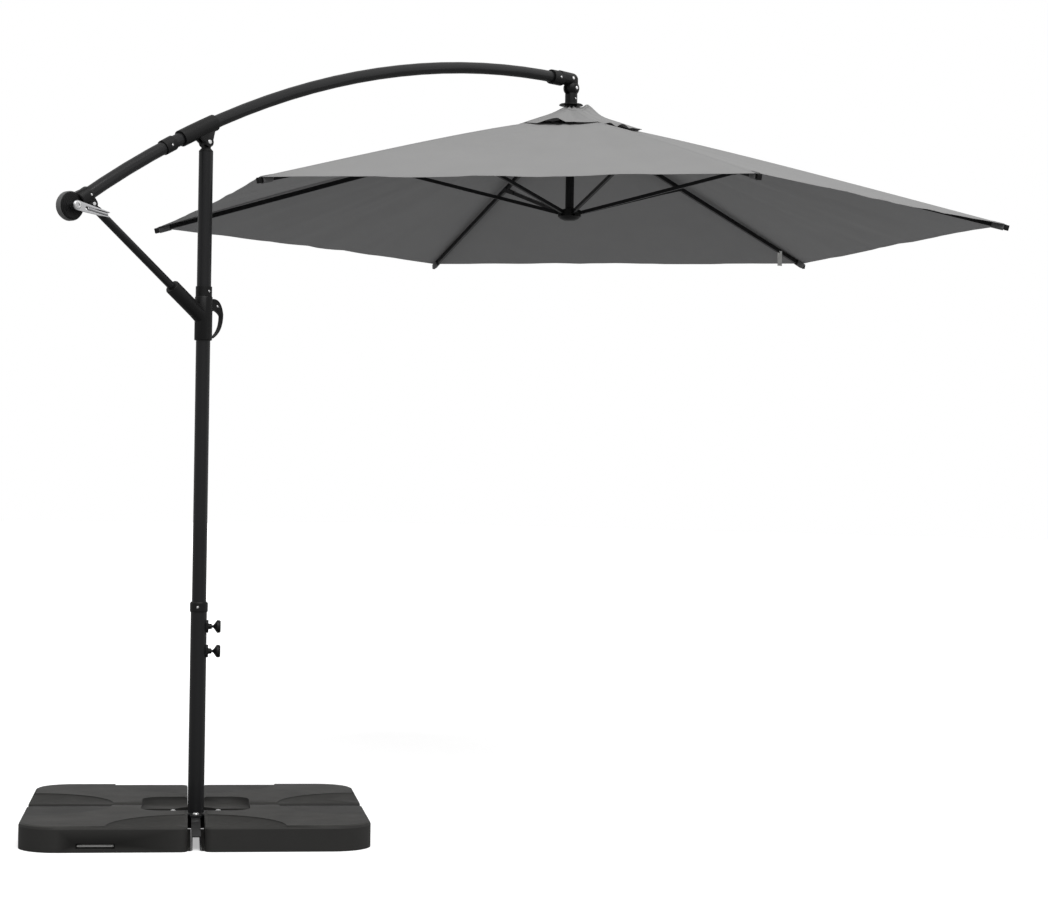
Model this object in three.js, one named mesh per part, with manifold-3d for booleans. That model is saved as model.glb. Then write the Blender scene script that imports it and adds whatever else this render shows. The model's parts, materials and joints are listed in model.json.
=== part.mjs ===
// Cantilever parasol: a curved boom slides through a pivoted sleeve on the mast, a strut joins its
// rear end to a slider, and a six-rib canopy hangs from its front end.
// Millimetres, +Z up, origin on the mast's axis at the floor, +X from the mast towards the canopy.

import * as THREE from "three";
import { mergeVertices } from "three/addons/utils/BufferGeometryUtils.js";
import Module from "manifold-3d";

const wasm = await Module();
wasm.setup();

// ---- driving dimensions ----

const fit = 0.3; // gap between pieces that touch
const slideFit = 0.5; // gap round a piece that slides or turns
const boomFit = 0.8; // gap round the curved boom
const mastFit = 0.8; // gap between the mast's two tubes
const through = 200; // half length of a cutting bar that has to pass through
const quarter = Math.PI / 2;
const degrees = Math.PI / 180;

const base = {
  turn: -40 * degrees, // of the cross base from the boom's direction
  half: 490, // centre to outer face
  height: 72,
  gap: 48, // between neighbouring plates
  wall: 4,
  cornerRadius: 112,
  edgeRadius: 12, // of the corners beside the cross bars
  topRound: 9,
  recessRadius: 250, // round areas at the bars' ends
  recessDepth: 4,
  pocketHalf: 158, // sunk square round the mast
  pocketRound: 58,
  pocketDepth: 19,
  hubRoom: 12, // cleared round the mast's foot
  gripWidth: 106,
  gripHeight: 15,
  gripDepth: 14,
  gripLift: 9,
  gripFromCorner: 215,
  ledgeHeight: 7, // strips that close the gap beside the cross bars
  ledgeShort: 22,
};
const bar = { width: 26, height: 40, reach: 462, wall: 3 };

const upperMast = { radius: 21.2, wall: 2, insert: 240 };
const lowerMast = { radius: upperMast.radius + mastFit + 2, wall: 2, top: 660 };
const foot = { radius: lowerMast.radius + 30, thickness: 6, tabWidth: 32, tabPastBolt: 16, boltRadius: 4 };
const footBoltHead = { radius: 9, rim: 3, height: 8 };
const jointCollar = { radius: lowerMast.radius + 2.5, overlap: 20, lip: 10 };
const knob = { belowTop: [63, 136], headRadius: 19, headDepth: 18, shaftRadius: 4, shank: 23, neckRadius: 9 };
const saddle = { radius: 11, spread: 8, thickness: 5, bossRadius: 9, bossLength: 15 };

const boom = { curve: 3665, crestAt: 1602, radius: 19, wall: 2, rearAt: -447, rearTail: 14 };
const pivotHeight = 2032; // sleeve's pin on the mast
const pivotToBoom = boom.radius + 24; // from the sleeve's pin up to the boom's axis
const mastTopBelowPivot = 29;
const mastPlug = { depth: 60, rim: 3, shoulder: 9 };
const sleeve = { length: 126, radius: boom.radius + boomFit + 5.2, centreAt: -34 };
const bracket = { thickness: 34, eye: 15, slot: 14, top: 25, pin: 4, toe: 14, webBelow: 30, webTop: 6 };
const stopCollar = { at: -145, length: 36, radius: boom.radius + boomFit + 2.7 };

const slider = { top: pivotHeight - 457, height: 130, radius: upperMast.radius + slideFit + 4.6, round: 3 };
const stopRing = { height: 29, radius: upperMast.radius + fit + 2.8 };
const strut = { radius: 12, wall: 1.5, belowTop: 66, socketReach: 150, socketDepth: 62 };
const strutSocket = { radius: strut.radius + fit + 10.2, flare: 2, flareLength: 40, lip: 3 };
const lever = { standOff: 15.7, belowTop: 27, bow: 30, drop: 96, band: 9, thickness: 14, clear: 6.5 };
const leverEar = { radius: 10, rootRadius: 16, rootDepth: 8, roomBelow: 40, roomAbove: 9 };

const reel = { along: -56, above: 2, radius: 26, core: 11, width: 15, shaft: 6, flange: 2 };
const housing = {
  discRadius: reel.radius + 15,
  discHalf: reel.width / 2 + 5.5,
  edge: 6, // of the disc's rounded rim
  collarRadius: boom.radius + boomFit + 4.2,
  collarLength: 44,
  lip: 3,
  boomStop: 18, // from the frame's origin back to the tube's seat
};
const strutEye = {
  along: 13, below: housing.collarRadius + 5, radius: 9, thickness: 11, neck: 26, hole: 3.2, rim: 4, cheek: 9,
};
const eyeSlot = { room: 3.5, forwards: 12, down: 30, mouth: 18 }; // where the strut's eye swings
const crank = {
  length: 110, hubRadius: 14, tipRadius: 8, thickness: 8, slot: 11, clear: 3, tilt: 8 * degrees,
};
const grip = { radius: 4.6, length: 72, waist: 0.8, round: 3 };

const socket = { radius: 21.5 };
const elbow = {
  radius: boom.radius + boomFit + 5.2,
  grasp: 52, // of its collar on the boom
  boomShort: 57, // from the boom's front end to the canopy's axis
  pipeRadius: socket.radius + 1.5, // of its body and leg
  rise: 4, // of the body's axis above the boom's
  legBottom: 22,
};
const pulley = { up: 6, radius: 12, flange: 15, width: 9, axle: 3, room: 2 };
const knuckle = { below: 26, ball: 28, tongue: 15, pin: 3.5, flat: 3, shoulder: 8 };
const rivet = { head: 2.2, crown: 1.5, rim: 3 };

const canopy = { radius: 1500, ribAngle: 14.25 * degrees, turn: 2.4 * degrees, ribs: 6, fromMast: 149 };
const reach = canopy.radius + canopy.fromMast; // mast's axis to canopy's axis
const crown = {
  below: 117, radius: 42, top: 24, skirt: 16, hingeRadius: 24, bore: 8, chamfer: 6, discThickness: 4,
};
const rib = { height: 16, width: 9, wall: 1.2, eye: 8, root: 6, pin: 2.3 };
const stretcher = { length: 650, height: 12, width: 9, cheek: 2.4, fork: 96, eye: 7.5 };
const runner = { radius: 40, height: 36, tubeRadius: 15, tubeWall: 1.5, rim: 14, floor: -2, tubeGap: 22 };
const hubSlot = { depth: 9.5, past: 2 };
const fabric = { thickness: 2.5, clearRib: 1.5, ventRadius: 110, inset: 6 };
const vent = { radius: 250, hole: 26, rise: 86, lift: 16 };
const cord = { radius: 2, wayRadius: 4.5, stopperRadius: 9, stopperHeight: 16, stopperUp: 6 };

// ---- places worked out from them ----

const upperMastBottom = lowerMast.top - upperMast.insert;
const knobHeights = knob.belowTop.map((below) => lowerMast.top - below);
const hubRadius = foot.radius + base.hubRoom;
const boltAt = foot.radius + base.hubRoom;
const tabReach = boltAt + foot.tabPastBolt;
const sliderBottom = slider.top - slider.height;
const strutMeetsAt = slider.top - strut.belowTop;
const leverPivot = { x: slider.radius + lever.standOff, z: slider.top - lever.belowTop };
const boomFront = reach - elbow.boomShort;
const boomAxisRadius = boom.curve;
const pivotRadius = boomAxisRadius - pivotToBoom;
const arcCentre = new THREE.Vector3(
  boom.crestAt, 0, pivotHeight - Math.sqrt(pivotRadius ** 2 - boom.crestAt ** 2));
const arcAngle = (x) => Math.asin((x - boom.crestAt) / boomAxisRadius);
const mastTop = pivotHeight - mastTopBelowPivot;
const crankOut = housing.collarRadius + crank.clear + crank.thickness / 2; // from the boom's plane
const pulleyBack = pulley.radius + cord.radius + fit; // behind the canopy's axis, so the cord drops on it

// A point beside the boom's axis at a distance x from the mast: so far along it and so far outwards.
const boomPoint = (x, along, outwards) =>
  new THREE.Vector3(along, 0, boomAxisRadius + outwards)
    .applyAxisAngle(new THREE.Vector3(0, 1, 0), arcAngle(x))
    .add(arcCentre);
const hangerPin = boomPoint(reach, 0, -knuckle.below);
const crownHeight = hangerPin.z - crown.below; // rib hinges
const ribLength = (canopy.radius - crown.hingeRadius) / Math.cos(canopy.ribAngle);
const sheetLift = (rib.height / 2 + fabric.clearRib) / Math.cos(canopy.ribAngle);
const sheetHeight = (radius) =>
  sheetLift - (radius - crown.hingeRadius) * Math.tan(canopy.ribAngle);
const ventEdge = sheetHeight(vent.radius) + vent.lift;
const discLow = ventEdge + vent.rise + fabric.thickness + slideFit; // of the crown's disc on the vent cap
const socketLength = crown.below - discLow - crown.discThickness - fit;
const runnerHeight = crownHeight - 2 * stretcher.length * Math.sin(canopy.ribAngle);

// ---- geometry helpers: each takes and gives a closed BufferGeometry ----

function toSolid(geometry) {
  const bare = geometry.clone();
  bare.deleteAttribute("normal");
  bare.deleteAttribute("uv");
  const merged = mergeVertices(bare, 1e-4);
  return new wasm.Manifold(new wasm.Mesh({
    numProp: 3,
    vertProperties: new Float32Array(merged.attributes.position.array),
    triVerts: new Uint32Array(merged.index.array),
  }));
}

function toGeometry(solid) {
  const mesh = solid.getMesh();
  const positions = new Float32Array(mesh.numVert * 3);
  for (let i = 0; i < mesh.numVert; i++) {
    positions.set(mesh.vertProperties.subarray(i * mesh.numProp, i * mesh.numProp + 3), i * 3);
  }
  return new THREE.BufferGeometry()
    .setAttribute("position", new THREE.BufferAttribute(positions, 3))
    .setIndex(new THREE.BufferAttribute(new Uint32Array(mesh.triVerts), 1));
}

function combine(how, first, others) {
  return toGeometry(others.reduce((sum, next) => sum[how](toSolid(next)), toSolid(first)));
}
const join = (first, ...others) => combine("add", first, others);
const cut = (first, ...others) => combine("subtract", first, others);
const common = (first, ...others) => combine("intersect", first, others);

const block = (x0, x1, y0, y1, z0, z1) =>
  new THREE.BoxGeometry(x1 - x0, y1 - y0, z1 - z0)
    .translate((x0 + x1) / 2, (y0 + y1) / 2, (z0 + z1) / 2);

// A solid of revolution about Z; the profile lists [radius, z] counter-clockwise.
const turned = (profile, sides = 24) =>
  new THREE.LatheGeometry(profile.map(([r, z]) => new THREE.Vector2(r, z)), sides).rotateX(quarter);

const rod = (radius, z0, z1, sides = 24) =>
  turned([[0, z0], [radius, z0], [radius, z1], [0, z1]], sides);

const pipe = (outer, inner, z0, z1, sides = 24) =>
  turned([[inner, z0], [outer, z0], [outer, z1], [inner, z1], [inner, z0]], sides);

// A Z-axis solid turned to lie along X or along Y.
const alongX = (geometry) => geometry.rotateY(quarter);
const alongY = (geometry) => geometry.rotateX(-quarter);

// An outline in the XZ plane, thickened about the plane.
const slab = (outline, thickness, segments = 8) =>
  new THREE.ExtrudeGeometry(outline, { depth: thickness, bevelEnabled: false, curveSegments: segments })
    .rotateX(quarter)
    .translate(0, thickness / 2, 0);

const circleOutline = (radius) => new THREE.Shape().absarc(0, 0, radius, 0, 2 * Math.PI);

// The outline of a strip with round ends, from one centre to another.
function strip(x0, z0, r0, x1, z1, r1) {
  const along = Math.atan2(z1 - z0, x1 - x0);
  const lean = Math.acos((r0 - r1) / Math.hypot(x1 - x0, z1 - z0));
  return new THREE.Shape()
    .absarc(x0, z0, r0, along + lean, along - lean + 2 * Math.PI)
    .absarc(x1, z1, r1, along - lean, along + lean);
}

// An arc of the boom's circle, angles from the top, in the frame of the circle's centre.
class BoomArc extends THREE.Curve {
  constructor(radius, from, to) {
    super();
    Object.assign(this, { radius, from, to });
  }
  getPoint(t, target = new THREE.Vector3()) {
    const angle = this.from + (this.to - this.from) * t;
    return target.set(this.radius * Math.sin(angle), 0, this.radius * Math.cos(angle));
  }
}

function arcPipe(outer, inner, fromX, toX, steps, sides = 20) {
  const ring = circleOutline(outer);
  if (inner) ring.holes.push(new THREE.Path().absarc(0, 0, inner, 0, 2 * Math.PI, true));
  return new THREE.ExtrudeGeometry(ring, {
    steps,
    curveSegments: sides / 2,
    extrudePath: new BoomArc(boomAxisRadius, arcAngle(fromX), arcAngle(toX)),
  });
}

// A length of the boom's arc in the frame that onBoom gives at x.
const boomPipe = (radius, fromX, toX, x) =>
  arcPipe(radius, 0, fromX, toX, 2).rotateY(-arcAngle(x)).translate(0, 0, -boomAxisRadius);

const material = (color, roughness, metalness = 0) =>
  new THREE.MeshStandardMaterial({ color, roughness, metalness });
const paint = () => material(0x2b2d30, 0.5, 0.3);
const plastic = () => material(0x1c1c1d, 0.55);
const basePlastic = () => material(0x3a3b38, 0.7);
const concrete = () => material(0x8a8780, 0.95);
const steel = () => material(0xb9bcc0, 0.3, 1);
const chrome = () => material(0xd8dadd, 0.12, 1);
const cloth = () => material(0x8d8d8f, 0.95);
const twine = () => material(0x222222, 0.9);

function piece(parent, name, geometry, finish) {
  const mesh = new THREE.Mesh(geometry, finish);
  mesh.name = name;
  parent.add(mesh);
  return mesh;
}

function groupAt(parent, x, y, z) {
  const group = new THREE.Group();
  group.position.set(x, y, z);
  parent.add(group);
  return group;
}

// ---- base: four weighted plates round a steel cross ----

// A plate's outline in the quadrant of +X and +Y, grown inwards by an inset.
function plateOutline(inset) {
  const low = base.gap / 2 + inset;
  const high = base.half - inset;
  const small = base.edgeRadius;
  const large = base.cornerRadius - inset;
  return new THREE.Shape()
    .absarc(low + small, low + small, small, Math.PI, 1.5 * Math.PI)
    .absarc(high - small, low + small, small, 1.5 * Math.PI, 2 * Math.PI)
    .absarc(high - large, high - large, large, 0, quarter)
    .absarc(low + small, high - small, small, quarter, Math.PI);
}

// The hand grip in a plate's outer face, grown by a margin.
function gripRecess(margin) {
  const middle = base.half - base.gripFromCorner;
  const half = base.gripWidth / 2 + margin;
  return block(
    middle - half, middle + half, base.half - base.gripDepth - margin, base.half + 1,
    base.gripLift - margin, base.gripLift + base.gripHeight + margin);
}

// The sunk corner of a plate beside the mast, grown by a margin.
function pocketRoom(margin, floor, top) {
  const half = base.pocketHalf + margin;
  const round = base.pocketRound + margin;
  const outline = new THREE.Shape()
    .moveTo(-1, -1)
    .lineTo(half, -1)
    .lineTo(half, half - round)
    .absarc(half - round, half - round, round, 0, quarter)
    .lineTo(-1, half);
  return new THREE.ExtrudeGeometry(outline, { depth: top - floor, bevelEnabled: false, curveSegments: 6 })
    .translate(0, 0, floor);
}

// What fills a plate, kept clear of its walls by an inset.
function plateCore(inset, top, pocketFloor) {
  const raised = new THREE.ExtrudeGeometry(plateOutline(inset), {
    depth: top, bevelEnabled: false, curveSegments: 4,
  });
  return cut(
    raised,
    pocketRoom(inset, pocketFloor, base.height),
    rod(hubRadius + inset, -1, base.height, 24),
    gripRecess(inset));
}

function plateShell() {
  const round = base.topRound;
  const body = new THREE.ExtrudeGeometry(plateOutline(round), {
    depth: base.height, bevelThickness: round, bevelSize: round, bevelSegments: 2, curveSegments: 5,
  }).translate(0, 0, -round);
  const floor = base.height - base.pocketDepth;
  const recessFloor = base.height - base.recessDepth;
  const shaped = cut(
    body,
    block(-1, base.half + 1, -1, base.half + 1, -2 * round, 0),
    rod(base.recessRadius, recessFloor, base.height + 1, 44).translate(base.half, 0, 0),
    rod(base.recessRadius, recessFloor, base.height + 1, 44).translate(0, base.half, 0),
    pocketRoom(0, floor, base.height + 1),
    rod(hubRadius, -1, base.height + 1, 24),
    gripRecess(0));
  const core = plateCore(base.wall, recessFloor - base.wall, floor - base.wall).translate(0, 0, -0.01);
  const inner = bar.width / 2 + 1;
  const outer = base.gap / 2 + base.wall;
  const from = hubRadius + base.edgeRadius;
  const to = base.half - base.ledgeShort;
  return join(
    cut(shaped, core),
    block(inner, outer, from, to, 0, base.ledgeHeight),
    block(from, to, inner, outer, 0, base.ledgeHeight));
}

function crossBar(notchTop) {
  const { width, height, reach: end, wall } = bar;
  const half = width / 2;
  const middle = height / 2;
  const notch = half + fit;
  const channel = cut(
    block(-end, end, -half, half, 0, height),
    block(-end - 1, end + 1, wall - half, half - wall, -1, height - wall));
  const lap = notchTop
    ? block(-notch, notch, -width, width, middle, height + 1)
    : block(-notch, notch, -width, width, -1, middle + fit);
  const bolts = [-boltAt, boltAt].map((x) =>
    rod(foot.boltRadius + fit, 0, height + 1, 16).translate(x, 0, 0));
  const bare = cut(channel, lap, ...bolts);
  return notchTop ? join(bare, block(-half, half, -half, half, 0, wall)) : bare;
}

function lowerMastWithFoot() {
  const plateBottom = bar.height + fit;
  const plateTop = plateBottom + foot.thickness;
  const halfTab = foot.tabWidth / 2;
  const bolts = [0, 1, 2, 3].map((i) =>
    rod(foot.boltRadius + fit, 0, plateTop + 1, 16).translate(boltAt, 0, 0).rotateZ(i * quarter));
  const plate = cut(
    join(
      rod(foot.radius, plateBottom, plateTop, 40),
      block(-tabReach, tabReach, -halfTab, halfTab, plateBottom, plateTop),
      block(-halfTab, halfTab, -tabReach, tabReach, plateBottom, plateTop)),
    rod(lowerMast.radius - lowerMast.wall, 0, plateTop + 1),
    ...bolts);
  const tube = pipe(lowerMast.radius, lowerMast.radius - lowerMast.wall, plateBottom + 1, lowerMast.top);
  const knobHoles = knobHeights.map((z) =>
    alongX(rod(knob.shaftRadius + fit, 0, 2 * lowerMast.radius, 16)).translate(0, 0, z));
  return cut(join(tube, plate), ...knobHoles);
}

function footBolt() {
  const seat = bar.height + fit + foot.thickness + fit;
  const shankEnd = bar.height - bar.wall - 6;
  const { radius, rim, height } = footBoltHead;
  return turned([
    [0, shankEnd], [foot.boltRadius, shankEnd], [foot.boltRadius, seat], [radius, seat],
    [radius, seat + rim], [radius * 0.72, seat + height - 1.5], [0, seat + height],
  ], 16);
}

function collarOnJoint() {
  const { radius, overlap, lip } = jointCollar;
  const bottom = lowerMast.top - overlap;
  const top = lowerMast.top + lip;
  return turned([
    [lowerMast.radius + fit, bottom], [radius - 1, bottom], [radius, bottom + 2], [radius, top - 4],
    [radius - 3, top], [upperMast.radius + slideFit, top], [upperMast.radius + slideFit, lowerMast.top + fit],
    [lowerMast.radius + fit, lowerMast.top + fit], [lowerMast.radius + fit, bottom],
  ]);
}

// A saddle that lies against the mast and carries a knob's thread.
function knobSaddle(z) {
  const { radius, spread, thickness, bossRadius, bossLength } = saddle;
  const front = lowerMast.radius + thickness;
  const bossEnd = lowerMast.radius + bossLength;
  const pad = slab(strip(0, -spread, radius, 0, spread, radius), 2 * lowerMast.radius, 6)
    .rotateZ(quarter)
    .translate(front, 0, 0);
  const padOutside = common(pad, block(0, front, -through, through, -through, through));
  const boss = alongX(turned([
    [0, 0], [bossRadius, 0], [bossRadius, front - 1], [bossRadius - 1.5, bossEnd], [0, bossEnd],
  ], 24));
  return cut(
    join(padOutside, boss),
    rod(lowerMast.radius + fit, -40, 40, 48),
    alongX(rod(knob.shaftRadius + fit, 0, through, 16))).translate(0, 0, z);
}

function clampKnob() {
  const { headRadius: big, shaftRadius: thin, headDepth: deep, neckRadius: neck } = knob;
  const start = upperMast.radius + fit;
  const head = lowerMast.radius + knob.shank;
  const face = head + deep;
  return alongX(turned([
    [0, start], [thin, start], [thin, head - 4], [neck, head], [big, head + 7], [big, face - 4],
    [big - 3, face], [big - 5, face], [big - 8, face - 3], [0, face - 3],
  ], 24));
}

function buildBase(parent) {
  const group = groupAt(parent, 0, 0, 0);
  group.rotation.z = base.turn;
  const recessFloor = base.height - base.recessDepth;
  const coreTop = recessFloor - base.wall - fit;
  const coreFloor = base.height - base.pocketDepth - base.wall - fit;
  for (let i = 0; i < 4; i++) {
    piece(group, `base_plate_${i + 1}`, plateShell(), basePlastic()).rotation.z = i * quarter;
    const ballast = cut(
      plateCore(base.wall + fit, coreTop, coreFloor), block(-1, base.half, -1, base.half, -1, 1));
    piece(group, `ballast_${i + 1}`, ballast, concrete()).rotation.z = i * quarter;
    piece(group, `foot_bolt_${i + 1}`, footBolt().translate(boltAt, 0, 0), steel())
      .rotation.z = i * quarter;
  }
  piece(group, "cross_bar_lower", crossBar(true), paint());
  piece(group, "cross_bar_upper", crossBar(false), paint()).rotation.z = quarter;
  piece(group, "lower_mast", lowerMastWithFoot(), paint());
  piece(group, "joint_collar", collarOnJoint(), plastic());
  knobHeights.forEach((z, i) => {
    const place = ["upper", "lower"][i];
    piece(group, `knob_saddle_${place}`, knobSaddle(z), plastic());
    piece(group, `clamp_knob_${place}`, clampKnob(), plastic()).position.z = z;
  });
}

// ---- mast and the sleeve on its top ----

function mastTopFitting() {
  const inside = upperMast.radius - upperMast.wall - fit;
  const shoulder = mastTop + mastPlug.shoulder;
  const plug = turned([
    [0, mastTop - mastPlug.depth], [inside, mastTop - mastPlug.depth], [inside, mastTop + fit],
    [upperMast.radius, mastTop + fit], [upperMast.radius, mastTop + mastPlug.rim],
    [bracket.eye + 1, shoulder], [0, shoulder],
  ]);
  const eye = bracket.eye - 2;
  const tongue = slab(strip(0, mastTop, eye, 0, pivotHeight, eye), bracket.slot - 2 * fit);
  const hole = alongY(rod(bracket.pin + fit, -through, through, 20)).translate(0, 0, pivotHeight);
  return cut(join(plug, tongue), hole);
}

// In the frame of the pivot: a curved sleeve on two cheeks.
function pivotSleeve() {
  const rear = sleeve.centreAt - sleeve.length / 2;
  const front = sleeve.centreAt + sleeve.length / 2;
  const tube = arcPipe(sleeve.radius, 0, rear, front, 3, 20);
  const bore = arcPipe(boom.radius + boomFit, 0, rear - 8, front + 8, 3, 20);
  const toPivot = [arcCentre.x, 0, arcCentre.z - pivotHeight];
  const { eye, top, toe, webBelow, webTop, thickness, slot } = bracket;
  const slope = -arcAngle(0);
  const legs = new THREE.Shape()
    .absarc(0, 0, eye, Math.PI + slope / 2, 2 * Math.PI + slope)
    .lineTo(top - 4, pivotToBoom - webTop)
    .lineTo(-top - toe, pivotToBoom - webBelow);
  const slotTop = pivotToBoom - sleeve.radius - 1;
  const cheeks = cut(
    slab(legs, thickness), block(-through, through, -slot / 2, slot / 2, -through, slotTop));
  const hole = alongY(rod(bracket.pin + fit, -through, through, 20));
  return cut(join(tube.translate(...toPivot), cheeks), bore.translate(...toPivot), hole);
}

// A rivet along Y with a low domed head beyond each face of what it holds.
function headedPin(radius, span) {
  const half = span / 2;
  const end = half + rivet.head;
  const seat = half + fit;
  const crownRadius = radius + rivet.crown;
  const rimRadius = radius + rivet.rim;
  return alongY(turned([
    [0, -end], [crownRadius, -end], [rimRadius, -seat], [radius, -seat],
    [radius, seat], [rimRadius, seat], [crownRadius, end], [0, end],
  ], 20));
}

function buildMast(parent) {
  const ringBottom = slider.top + fit;
  piece(parent, "upper_mast",
    pipe(upperMast.radius, upperMast.radius - upperMast.wall, upperMastBottom, mastTop), paint());
  piece(parent, "mast_top_fitting", mastTopFitting(), plastic());
  piece(parent, "mast_stop_ring",
    pipe(stopRing.radius, upperMast.radius + fit, ringBottom, ringBottom + stopRing.height), plastic());
  const pivot = groupAt(parent, 0, 0, pivotHeight);
  piece(pivot, "pivot_sleeve", pivotSleeve(), plastic());
  piece(pivot, "sleeve_pin", headedPin(bracket.pin, bracket.thickness), steel());
}

// ---- boom: tube, collars, crank housing and front elbow ----

// A frame on the boom's axis at a distance x from the mast, its X along the boom and Z outwards.
function onBoom(arcGroup, x) {
  const swing = new THREE.Group();
  swing.rotation.y = arcAngle(x);
  arcGroup.add(swing);
  return groupAt(swing, 0, 0, boomAxisRadius);
}

const reelCentre = [reel.along, 0, reel.above];

// One half of the crank housing; the near half is on the -Y side and lets the shaft through.
function housingHalf(near) {
  const { discRadius, discHalf, edge, collarRadius, collarLength, lip } = housing;
  const lugHalf = strutEye.thickness / 2 + strutEye.cheek;
  const disc = alongY(turned([
    [0, -discHalf], [discRadius - edge, -discHalf], [discRadius - 1.5, 4 - discHalf],
    [discRadius, 7 - discHalf], [discRadius, discHalf - 7],
    [discRadius - 1.5, discHalf - 4], [discRadius - edge, discHalf], [0, discHalf],
  ], 40)).translate(...reelCentre);
  const web = slab(
    strip(reel.along, reel.above, discRadius - 12, 4, 0, collarRadius - 2), 2 * discHalf - 4);
  const collar = alongX(turned([
    [0, 0], [collarRadius - 2, 0], [collarRadius, lip], [collarRadius, collarLength - lip],
    [collarRadius - 1.5, collarLength], [0, collarLength],
  ], 32)).translate(-collarLength / 2, 0, 0);
  const lugRadius = strutEye.radius + strutEye.rim;
  const lug = slab(strip(strutEye.along, -strutEye.below, lugRadius, 4, 0, collarRadius - 4), 2 * lugHalf);
  const body = join(disc, web, collar, lug);
  const boomEnd = alongX(rod(boom.radius + boomFit, 0, through, 32)).translate(-housing.boomStop, 0, 0);
  const slotOutline = strip(strutEye.along, -strutEye.below, strutEye.radius + eyeSlot.room,
    strutEye.along + eyeSlot.forwards, -strutEye.below - eyeSlot.down, strutEye.radius + eyeSlot.mouth);
  const eyeGap = slab(slotOutline, strutEye.thickness + 2 * slideFit);
  const reelRoom = alongY(rod(reel.radius + 2, -reel.width / 2 - 1, reel.width / 2 + 1, 32))
    .translate(...reelCentre);
  const shaftHole = alongY(rod(reel.shaft + fit, -through, reel.width, 20)).translate(...reelCentre);
  const cordWay = alongX(rod(2 * cord.wayRadius, 0, 60, 16)).translate(reel.along, 0, 8);
  const rivetHole = alongY(rod(strutEye.hole + fit, -through, 0, 16))
    .translate(strutEye.along, 0, -strutEye.below);
  const keep = near
    ? block(-through, through, -through, -fit / 2, -through, through)
    : block(-through, through, fit / 2, through, -through, through);
  const half = cut(common(body, keep), boomEnd, eyeGap, reelRoom, cordWay);
  return near ? cut(half, shaftHole, rivetHole) : half;
}

// The strut's rivet, in the near cheek only.
function strutRivet() {
  const inner = strutEye.thickness / 2 + slideFit + fit;
  const outer = strutEye.thickness / 2 + strutEye.cheek;
  const end = outer + rivet.head + 0.2;
  const r = strutEye.hole;
  return alongY(turned([
    [0, -end], [r + rivet.crown, -end], [r + rivet.rim, -outer - fit], [r, -outer - fit],
    [r, -inner], [0, -inner],
  ], 16)).translate(strutEye.along, 0, -strutEye.below);
}

function cordReel() {
  const { radius, core, width, shaft, flange } = reel;
  const half = width / 2;
  const outer = -crankOut - crank.thickness / 2;
  return alongY(turned([
    [0, outer], [shaft, outer], [shaft, -half], [radius, -half], [radius, flange - half],
    [core, flange + 1 - half], [core, half - flange - 1], [radius, half - flange], [radius, half], [0, half],
  ], 28));
}

// The crank lies in the XZ plane of the reel's frame, pointing forwards from its hub.
function crankArm() {
  const { length, hubRadius, tipRadius, thickness, slot } = crank;
  const outline = strip(0, 0, hubRadius, length, 0, tipRadius);
  const plate = slab(outline, thickness, 6);
  const hub = alongY(rod(hubRadius - 1, -thickness / 2 - 2, crankOut - housing.discHalf - slideFit, 28));
  const gripRoom = slab(strip(length - grip.length - 4, 0, slot / 2, length + 20, 0, slot / 2), 30);
  const shaftHole = alongY(rod(reel.shaft + fit, -thickness / 2 - fit, 2 * crankOut, 20));
  return cut(join(plate, hub), gripRoom, shaftHole);
}

function crankGrip() {
  const { radius, length, waist, round } = grip;
  return alongX(turned([
    [0, -length], [radius - 1.5, -length], [radius, round - length], [radius - waist, -length / 2],
    [radius, -4],
    [radius - 1, 0], [0, 0],
  ], 16));
}

function frontElbow() {
  const { pipeRadius, rise, grasp } = elbow;
  const bottom = -elbow.legBottom;
  const start = -elbow.boomShort - 10;
  const body = common(
    join(
      alongX(rod(pipeRadius, start, 0, 32)).translate(0, 0, rise),
      new THREE.SphereGeometry(pipeRadius, 32, 16).rotateX(quarter).translate(0, 0, rise),
      rod(pipeRadius, bottom, rise, 32)),
    block(-through, through, -socket.radius, socket.radius, -through, through));
  const collar = boomPipe(elbow.radius, boomFront - grasp, boomFront, reach);
  const eye = knuckle.ball - knuckle.shoulder;
  const tongue = slab(strip(0, -knuckle.below, eye, 0, bottom + 8, eye), knuckle.tongue);
  const ballRoom = new THREE.SphereGeometry(knuckle.ball + 1, 20, 12).translate(0, 0, -knuckle.below);
  const shell = cut(join(body, collar), ballRoom);
  const boomRoom = boomPipe(boom.radius + boomFit, boomFront - grasp - 8, boomFront + 2, reach);
  const wheelHalf = pulley.width / 2 + 1;
  const pulleyRoom = block(
    start + 6, pulley.flange + pulley.room - pulleyBack, -wheelHalf, wheelHalf,
    pulley.up - pulley.flange - pulley.room, pulley.up + pulley.flange + pulley.room);
  const cordWay = rod(cord.wayRadius, -60, 12, 16);
  const pinHole = alongY(rod(knuckle.pin + fit, -through, through, 16)).translate(0, 0, -knuckle.below);
  const axleHole = alongY(rod(pulley.axle + fit, -through, through, 16))
    .translate(-pulleyBack, 0, pulley.up);
  return cut(join(shell, tongue), boomRoom, pulleyRoom, cordWay, pinHole, axleHole);
}

function pulleyWheel() {
  const half = pulley.width / 2;
  return alongY(turned([
    [pulley.axle + fit, -half], [pulley.flange, -half], [pulley.flange, 1 - half], [pulley.radius, -1],
    [pulley.radius, 1], [pulley.flange, half - 1], [pulley.flange, half], [pulley.axle + fit, half],
    [pulley.axle + fit, -half],
  ], 24));
}

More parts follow.
